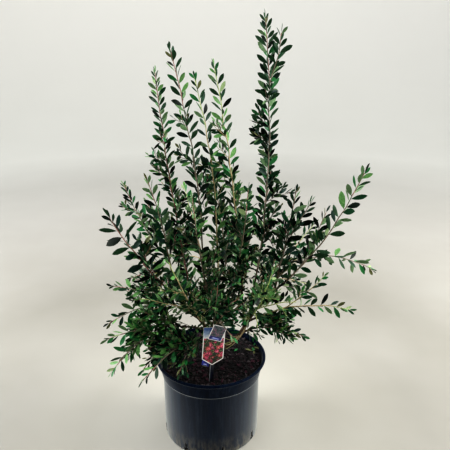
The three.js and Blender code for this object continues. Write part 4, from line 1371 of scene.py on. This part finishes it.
def make_pot():
    """The container. Each drain is a low hole in the foot and a slit above it, with beaded sides."""
    vertices, quads = turned(pot_profile(), POT_SIDES)
    finishes = [pot_finish("pot_body", 0.92, 0.39), pot_finish("pot_collar", 0.34, 0.30)]
    piece = add_object("nursery_pot", mesh_from("nursery_pot", vertices, quads, []), finishes)
    holes, slits, beads = Shells(), Shells(), Shells()
    for i in range(DRAIN_COUNT):
        turn = radians(DRAIN_TURN) + 2 * math.pi * i / DRAIN_COUNT
        for boxes, width, top in ((holes, DRAIN_WIDTH, DRAIN_TOP), (slits, SLIT_WIDTH, SLIT_TOP)):
            size = (width, DRAIN_DEPTH, top - DRAIN_BOTTOM)
            boxes.add(*box_shell(size, (0, FOOT_RADIUS, (top + DRAIN_BOTTOM) / 2), turn), [])
        around = Matrix.Rotation(turn, 3, "Z")
        heights = np.linspace(DRAIN_TOP, SLIT_TOP + BEAD_OVERRUN, BEAD_RINGS)
        for side in (-1, 1):
            x = side * (SLIT_WIDTH / 2 + SLIT_BEAD * BEAD_GAP)
            path = [around @ Vector((x, wall_radius(z) - SLIT_BEAD * BEAD_SINK, z)) for z in heights]
            beads.add(*sweep(path, [SLIT_BEAD] * BEAD_RINGS, BEAD_SIDES))
    cut_away(piece, holes)
    cut_away(piece, slits)
    piece.data.set_sharp_from_angle(angle=radians(34))
    for face in piece.data.polygons:
        face.material_index = int(face.center.z > STEP_LEVEL)
    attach(piece, "root")
    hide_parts("pot")
    rims = add_object("drain_beads", beads.mesh("drain_beads"), [piece.data.materials[0]])
    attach(rims, "root")


def bark_height(x, y):
    """The bed's surface: level in the middle, a little lower at the edge, and uneven."""
    reach = math.hypot(x, y)
    edge = inner_radius(BARK_LEVEL)
    fall = BARK_FALL * min(max((reach - BARK_FLAT_RADIUS) / (edge - BARK_FLAT_RADIUS), 0), 1)
    lumps = noise.noise(Vector((x * BED_LUMPS, y * BED_LUMPS, 0.3))) * 0.8
    lumps += noise.noise(Vector((x * BED_CLODS, y * BED_CLODS, 4)))
    return BARK_LEVEL - fall + BED_RELIEF * lumps


def make_bark_bed():
    """The bed's uneven surface, closed underneath."""
    low = BARK_LEVEL - BARK_DEPTH
    edge, under_edge = [inner_radius(z) - BED_GAP for z in (BARK_LEVEL - BARK_FALL, low)]
    vertices = []
    for ring in range(BED_RINGS):
        reach = edge * math.sqrt((ring + 0.4) / (BED_RINGS - 0.6))
        for side in range(BED_SIDES):
            angle = 2 * math.pi * side / BED_SIDES
            x, y = reach * math.cos(angle), reach * math.sin(angle)
            crumb = CRUMB_RELIEF * noise.noise(Vector((x * CRUMB_SCALE, y * CRUMB_SCALE, 9)))
            vertices.append((x, y, bark_height(x, y) + crumb))
    inwards = under_edge / edge
    vertices += [(x * inwards, y * inwards, low) for x, y, _ in vertices[-BED_SIDES:]]
    vertices += [(0, 0, bark_height(0, 0)), (0, 0, low)]
    mesh = mesh_from("bark_bed", vertices, *tube_faces(BED_RINGS + 1, BED_SIDES, inside_out=True))
    piece = add_object("bark_bed", mesh, [crumb_finish("bark_bed", "0b090a", "221a1c")])
    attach(piece, "root")
    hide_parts("bark_mulch")


def chip_rows(long, draw):
    """A flat broken chip round the origin: its lower and upper outlines and their middles, and half
    its thickness."""
    wide = long * lerp(*CHIP_WIDTH_SHARES, draw())
    thick = long * lerp(*CHIP_THICKNESS_SHARES, draw())
    angles = [2 * math.pi * (k + 0.7 * draw()) / CHIP_CORNERS for k in range(CHIP_CORNERS)]
    outer = [lerp(*CHIP_RAGGEDNESS, draw()) for _ in range(CHIP_CORNERS)]
    rows = []
    for level in (-1, 1):
        shrink = lerp(*CHIP_BEVEL, draw())
        for angle, out in zip(angles, outer):
            z = thick * (level + 0.5 * (draw() - 0.5))
            out *= shrink
            rows.append((long * out * math.cos(angle), wide * out * math.sin(angle), z))
    return [*rows, (0, 0, -thick), (0, 0, thick * lerp(*CHIP_DOME, draw()))], thick


def make_chips():
    """Bark chips, scattered and tilted on the bed."""
    shells = Shells()
    faces = tube_faces(2, CHIP_CORNERS)
    limit = inner_radius(BARK_LEVEL - BARK_FALL) - CHIP_EDGE_ROOM
    for i in range(CHIP_COUNT):
        draw = seeded(CHIP_SEED + i)
        reach = limit * math.sqrt((i + 0.5) / CHIP_COUNT)
        turn = radians(GOLDEN_ANGLE * i) + 0.5 * draw()
        x, y = reach * math.cos(turn), reach * math.sin(turn)
        rows, thick = chip_rows(lerp(*CHIP_LENGTHS, draw() ** CHIP_SMALLNESS), draw)
        tilt = Matrix.Rotation(radians(CHIP_TILT * (draw() - 0.5)), 3, "X")
        tilt = tilt @ Matrix.Rotation(radians(CHIP_TILT * (draw() - 0.5)), 3, "Y")
        tilt = Matrix.Rotation(2 * math.pi * draw(), 3, "Z") @ tilt
        place = Vector((x, y, bark_height(x, y) + thick * 0.4))
        vertices = np.array([tuple(place + tilt @ Vector(row)) for row in rows])
        tone = pick_tone([share for *_, share in CHIP_COLOURS], draw())
        if math.hypot(x - PALE_CHIP[0], y - PALE_CHIP[1]) < PALE_CHIP[2]:
            tone = len(CHIP_COLOURS) - 1
        shells.add(vertices, *faces, tone, tone)
    mesh = shells.mesh("bark_chips")
    mesh.set_sharp_from_angle(angle=radians(40))
    materials = [crumb_finish(name, code, lighter) for name, code, lighter, _ in CHIP_COLOURS]
    piece = add_object("bark_chips", mesh, materials)
    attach(piece, "root")


# Plant label

def plate(points, thickness, depth=0.0):
    """A flat plate in the X-Z plane from a convex outline, its front face towards -Y, and brought
    forwards by depth."""
    middle = tuple(np.mean(points, axis=0))
    front, back = -thickness / 2 - depth, thickness / 2 - depth
    rows = [(x, y, z) for y in (front, back) for x, z in points]
    rows += [(middle[0], y, middle[1]) for y in (front, back)]
    return (np.array(rows), *tube_faces(2, len(points), inside_out=True))


def rectangle(left, bottom, right, top):
    """Its corners, anticlockwise from the lower left."""
    return [(left, bottom), (right, bottom), (right, top), (left, top)]


def pointed(half, foot, shoulder, top):
    """The outline of a card with a pointed foot, anticlockwise from the point."""
    return [(0, foot), (half, shoulder), (half, top), (-half, top), (-half, shoulder)]


def rounded_outline(corners, radius, steps=5):
    """A convex outline, anticlockwise, with each corner rounded."""
    points = []
    for before, corner, after in zip(corners[-1:] + corners[:-1], corners, corners[1:] + corners[:1]):
        corner = Vector(corner)
        start = corner + (Vector(before) - corner).normalized() * radius
        end = corner + (Vector(after) - corner).normalized() * radius
        points += [tuple(bend(start, corner, end, i / (steps - 1))) for i in range(steps)]
    return points


def label_piece(name, batch, materials, transform=Matrix(), replaced=None):
    """Shells joined into one piece, each with its own material in order, moved into place and then
    turned about the label's axis with the rest."""
    shells = Shells()
    for tone, shell in enumerate(batch):
        shells.add(*shell, tone, tone)
    mesh = shells.mesh(name)
    mesh.set_sharp_from_angle(angle=radians(30))
    turn = Matrix.Rotation(radians(LABEL_TURN), 4, "Z")
    mesh.transform(Matrix.Translation(LABEL_PLACE) @ turn @ transform)
    piece = add_object(name, mesh, materials)
    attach(piece, "root")
    if replaced:
        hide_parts(replaced)


def make_label():
    """The large card on its dark stake: a print, a band of sky over it, and a blue slip behind."""
    half, stake_half = CARD_WIDTH / 2, STAKE_WIDTH / 2
    inset = half - CARD_BORDER
    split = CARD_TOP - SKY_HEIGHT
    stake_foot = BARK_LEVEL - STAKE_DEPTH
    edge = -stake_half + STAKE_RIB
    card = pointed(half, CARD_BOTTOM - 0.001, CARD_SHOULDER, CARD_TOP)
    lower = pointed(inset, CARD_BOTTOM + CARD_BORDER, CARD_SHOULDER + CARD_BORDER / 2, split)
    upper = rectangle(-half + CARD_EDGE, split, inset, CARD_TOP - CARD_EDGE)
    stake = pointed(stake_half, stake_foot, stake_foot + stake_half, CARD_BOTTOM + STAKE_LAP)
    rib = [
        (-stake_half, BARK_LEVEL), (edge, BARK_LEVEL),
        (edge, CARD_BOTTOM + 0.004), (-stake_half, CARD_BOTTOM + 0.002),
    ]
    face = CARD_THICKNESS / 2
    foot = Matrix.Translation((0, 0, CARD_BOTTOM))
    about_foot = foot @ Matrix.Rotation(radians(LABEL_ROLL), 4, "Y") @ foot.inverted()
    batch = [
        plate(rounded_outline(card, CARD_ROUNDING), CARD_THICKNESS),
        plate(lower, PRINT_FILM, face),
        plate(rounded_outline(upper, CARD_ROUNDING - 0.0004), PRINT_FILM, face),
        plate(stake, CARD_THICKNESS * 0.9, -0.0001),
        plate(rib, RIB_THICKNESS, face),
        plate(SLIP, CARD_THICKNESS, -SLIP_DEPTH),
        plate(SLIP_STREAK, PRINT_FILM, face - SLIP_DEPTH),
    ]
    materials = [
        card_finish("card_white", "e9e7e4", "f4f3f0"),
        blossom_print(),
        sky_print(),
        card_finish("stake_dark", "0b0f1e", "171b2c"),
        card_finish("stake_edge", "6a7076", "8b9094"),
        card_finish("slip_blue", "101a78", "2438a8", 40),
        card_finish("slip_streak", "7c8ccc", "b4c0ec", 90),
    ]
    label_piece("label_board", batch, materials, about_foot, "plant_label")


def make_flap():
    """The small card: a dim print over a blue band with a pale wave on it."""
    half, tall = FLAP_SIZE[0] / 2, FLAP_SIZE[1] / 2
    face = CARD_THICKNESS / 2
    band = -tall + FLAP_BAND
    side = half - FLAP_BORDER
    wave = [
        (-half + 0.010, -tall + 0.0065), (half - 0.014, -tall + 0.0060),
        (half - 0.008, -tall + 0.0100), (-half + 0.016, -tall + 0.0125),
    ]
    batch = [
        plate(rounded_outline(rectangle(-half, -tall, half, tall), FLAP_ROUNDING), CARD_THICKNESS),
        plate(rectangle(-side, band, side, tall - FLAP_BORDER), PRINT_FILM, face),
        plate(rectangle(-side, -tall + FLAP_BORDER, side, band), PRINT_FILM, face),
        plate(wave, PRINT_FILM, face + PRINT_FILM * 0.8),
    ]
    materials = [
        card_finish("flap_white", "e6e4e6", "f2f1f2"),
        dusk_print(),
        card_finish("flap_blue", "0e1268", "1c2890", 40),
        card_finish("flap_wave", "8290dc", "b8c2f0", 90),
    ]
    turn = Matrix.Rotation(radians(FLAP_ROLL), 4, "Y")
    turn = turn @ Matrix.Rotation(radians(FLAP_TIP_FORWARD), 4, "X")
    label_piece("label_flap_card", batch, materials, Matrix.Translation(FLAP_PLACE) @ turn, "label_flap")


def make_button():
    """The button that joins the two cards, wider behind the small one."""
    front = FLAP_PLACE.y + 0.0004
    neck = front + BUTTON_HEAD
    stations = [
        (front, BUTTON_NECK), (neck, BUTTON_NECK),
        (neck + 0.0002, BUTTON_RADIUS), (-CARD_THICKNESS / 2, BUTTON_RADIUS),
    ]
    path = [Vector((BUTTON_SIDE, y, FLAP_PLACE.z + BUTTON_RISE)) for y, _ in stations]
    button = sweep(path, [radius for _, radius in stations], BUTTON_FACETS)
    label_piece("label_button", [button], [card_finish("button_grey", "5a5a58", "7a7a78")])


# Stage, light and camera

def make_stage():
    """A pale paper floor that curves up all round, far from the plant."""
    bend_radius = STAGE_RADIUS - FLOOR_RADIUS
    profile = [(0.0, 0.0), (FLOOR_RADIUS, 0.0)]
    profile += arc((FLOOR_RADIUS, bend_radius), bend_radius, -80, 0, 9)
    profile.append((STAGE_RADIUS, STAGE_HEIGHT))
    vertices, quads = turned(profile, STAGE_SIDES)
    closing = np.arange(len(quads)) % len(profile) == len(profile) - 1
    mesh = mesh_from("stage_floor", vertices, quads[~closing][:, ::-1], [])
    add_object("stage_floor", mesh, [stage_painted_light_finish()])


def add_light(name, place, target, size, watts, colour):
    """A softbox that lights the scene without being seen in it."""
    data = bpy.data.lights.new(name, "AREA")
    data.shape = "RECTANGLE"
    data.size, data.size_y = size
    data.energy = watts
    data.color = colour
    light = bpy.data.objects.new(name, data)
    light.location = place
    light.rotation_euler = (Vector(target) - Vector(place)).to_track_quat("-Z", "Y").to_euler()
    light.visible_camera = False
    bpy.context.scene.collection.objects.link(light)


def make_light():
    """A pale room and softboxes, with the view that the colours were chosen in."""
    world = bpy.data.worlds.new("studio")
    world.use_nodes = True
    sky = world.node_tree.nodes["Background"].inputs
    sky["Color"].default_value = WORLD_COLOUR
    sky["Strength"].default_value = WORLD_STRENGTH
    bpy.context.scene.world = world
    bpy.context.scene.view_settings.view_transform = "Standard"
    bpy.context.scene.view_settings.look = "High Contrast"
    for softbox in SOFTBOXES:
        add_light(*softbox)


def make_camera():
    data = bpy.data.cameras.new("camera")
    data.lens = CAMERA_LENS
    data.sensor_width = CAMERA_SENSOR
    data.clip_start, data.clip_end = CAMERA_RANGE
    camera = bpy.data.objects.new("camera", data)
    camera.location = CAMERA_PLACE
    camera.rotation_euler = (radians(90 - CAMERA_PITCH), 0, 0)
    bpy.context.scene.collection.objects.link(camera)
    bpy.context.scene.camera = camera


# The whole plant

def make_plant():
    """Grows everything first, and then makes the wood and each group's leaves and stems."""
    grow_limbs()
    for index, m in enumerate(MASSES):
        grow_mass(m, index)
    grow_bare_twigs()
    drop_litter()
    bark = bark_piece()
    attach(bark, "root")
    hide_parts(*limbs)
    leaf_finishes = [leaf_finish(*row) for row in LEAF_COLOURS]
    stem_finishes = [stem_finish(*row) for row in STEM_COLOURS]
    for group in dict.fromkeys(m["group"] for m in MASSES):
        batch = [leaf for leaf in leaves if leaf["group"] == group]
        foliage = leaf_piece(f"leaves_{group}", batch, leaf_finishes)
        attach(foliage, "root")
        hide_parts(*[m["name"] for m in MASSES if m["group"] == group])
        wood = stem_piece(f"stems_{group}", [(s, n) for g, s, n in stems if g == group], stem_finishes)
        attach(wood, "root")


make_camera()
make_pot()
make_bark_bed()
make_chips()
make_label()
make_flap()
make_button()
make_plant()
make_stage()
make_light()
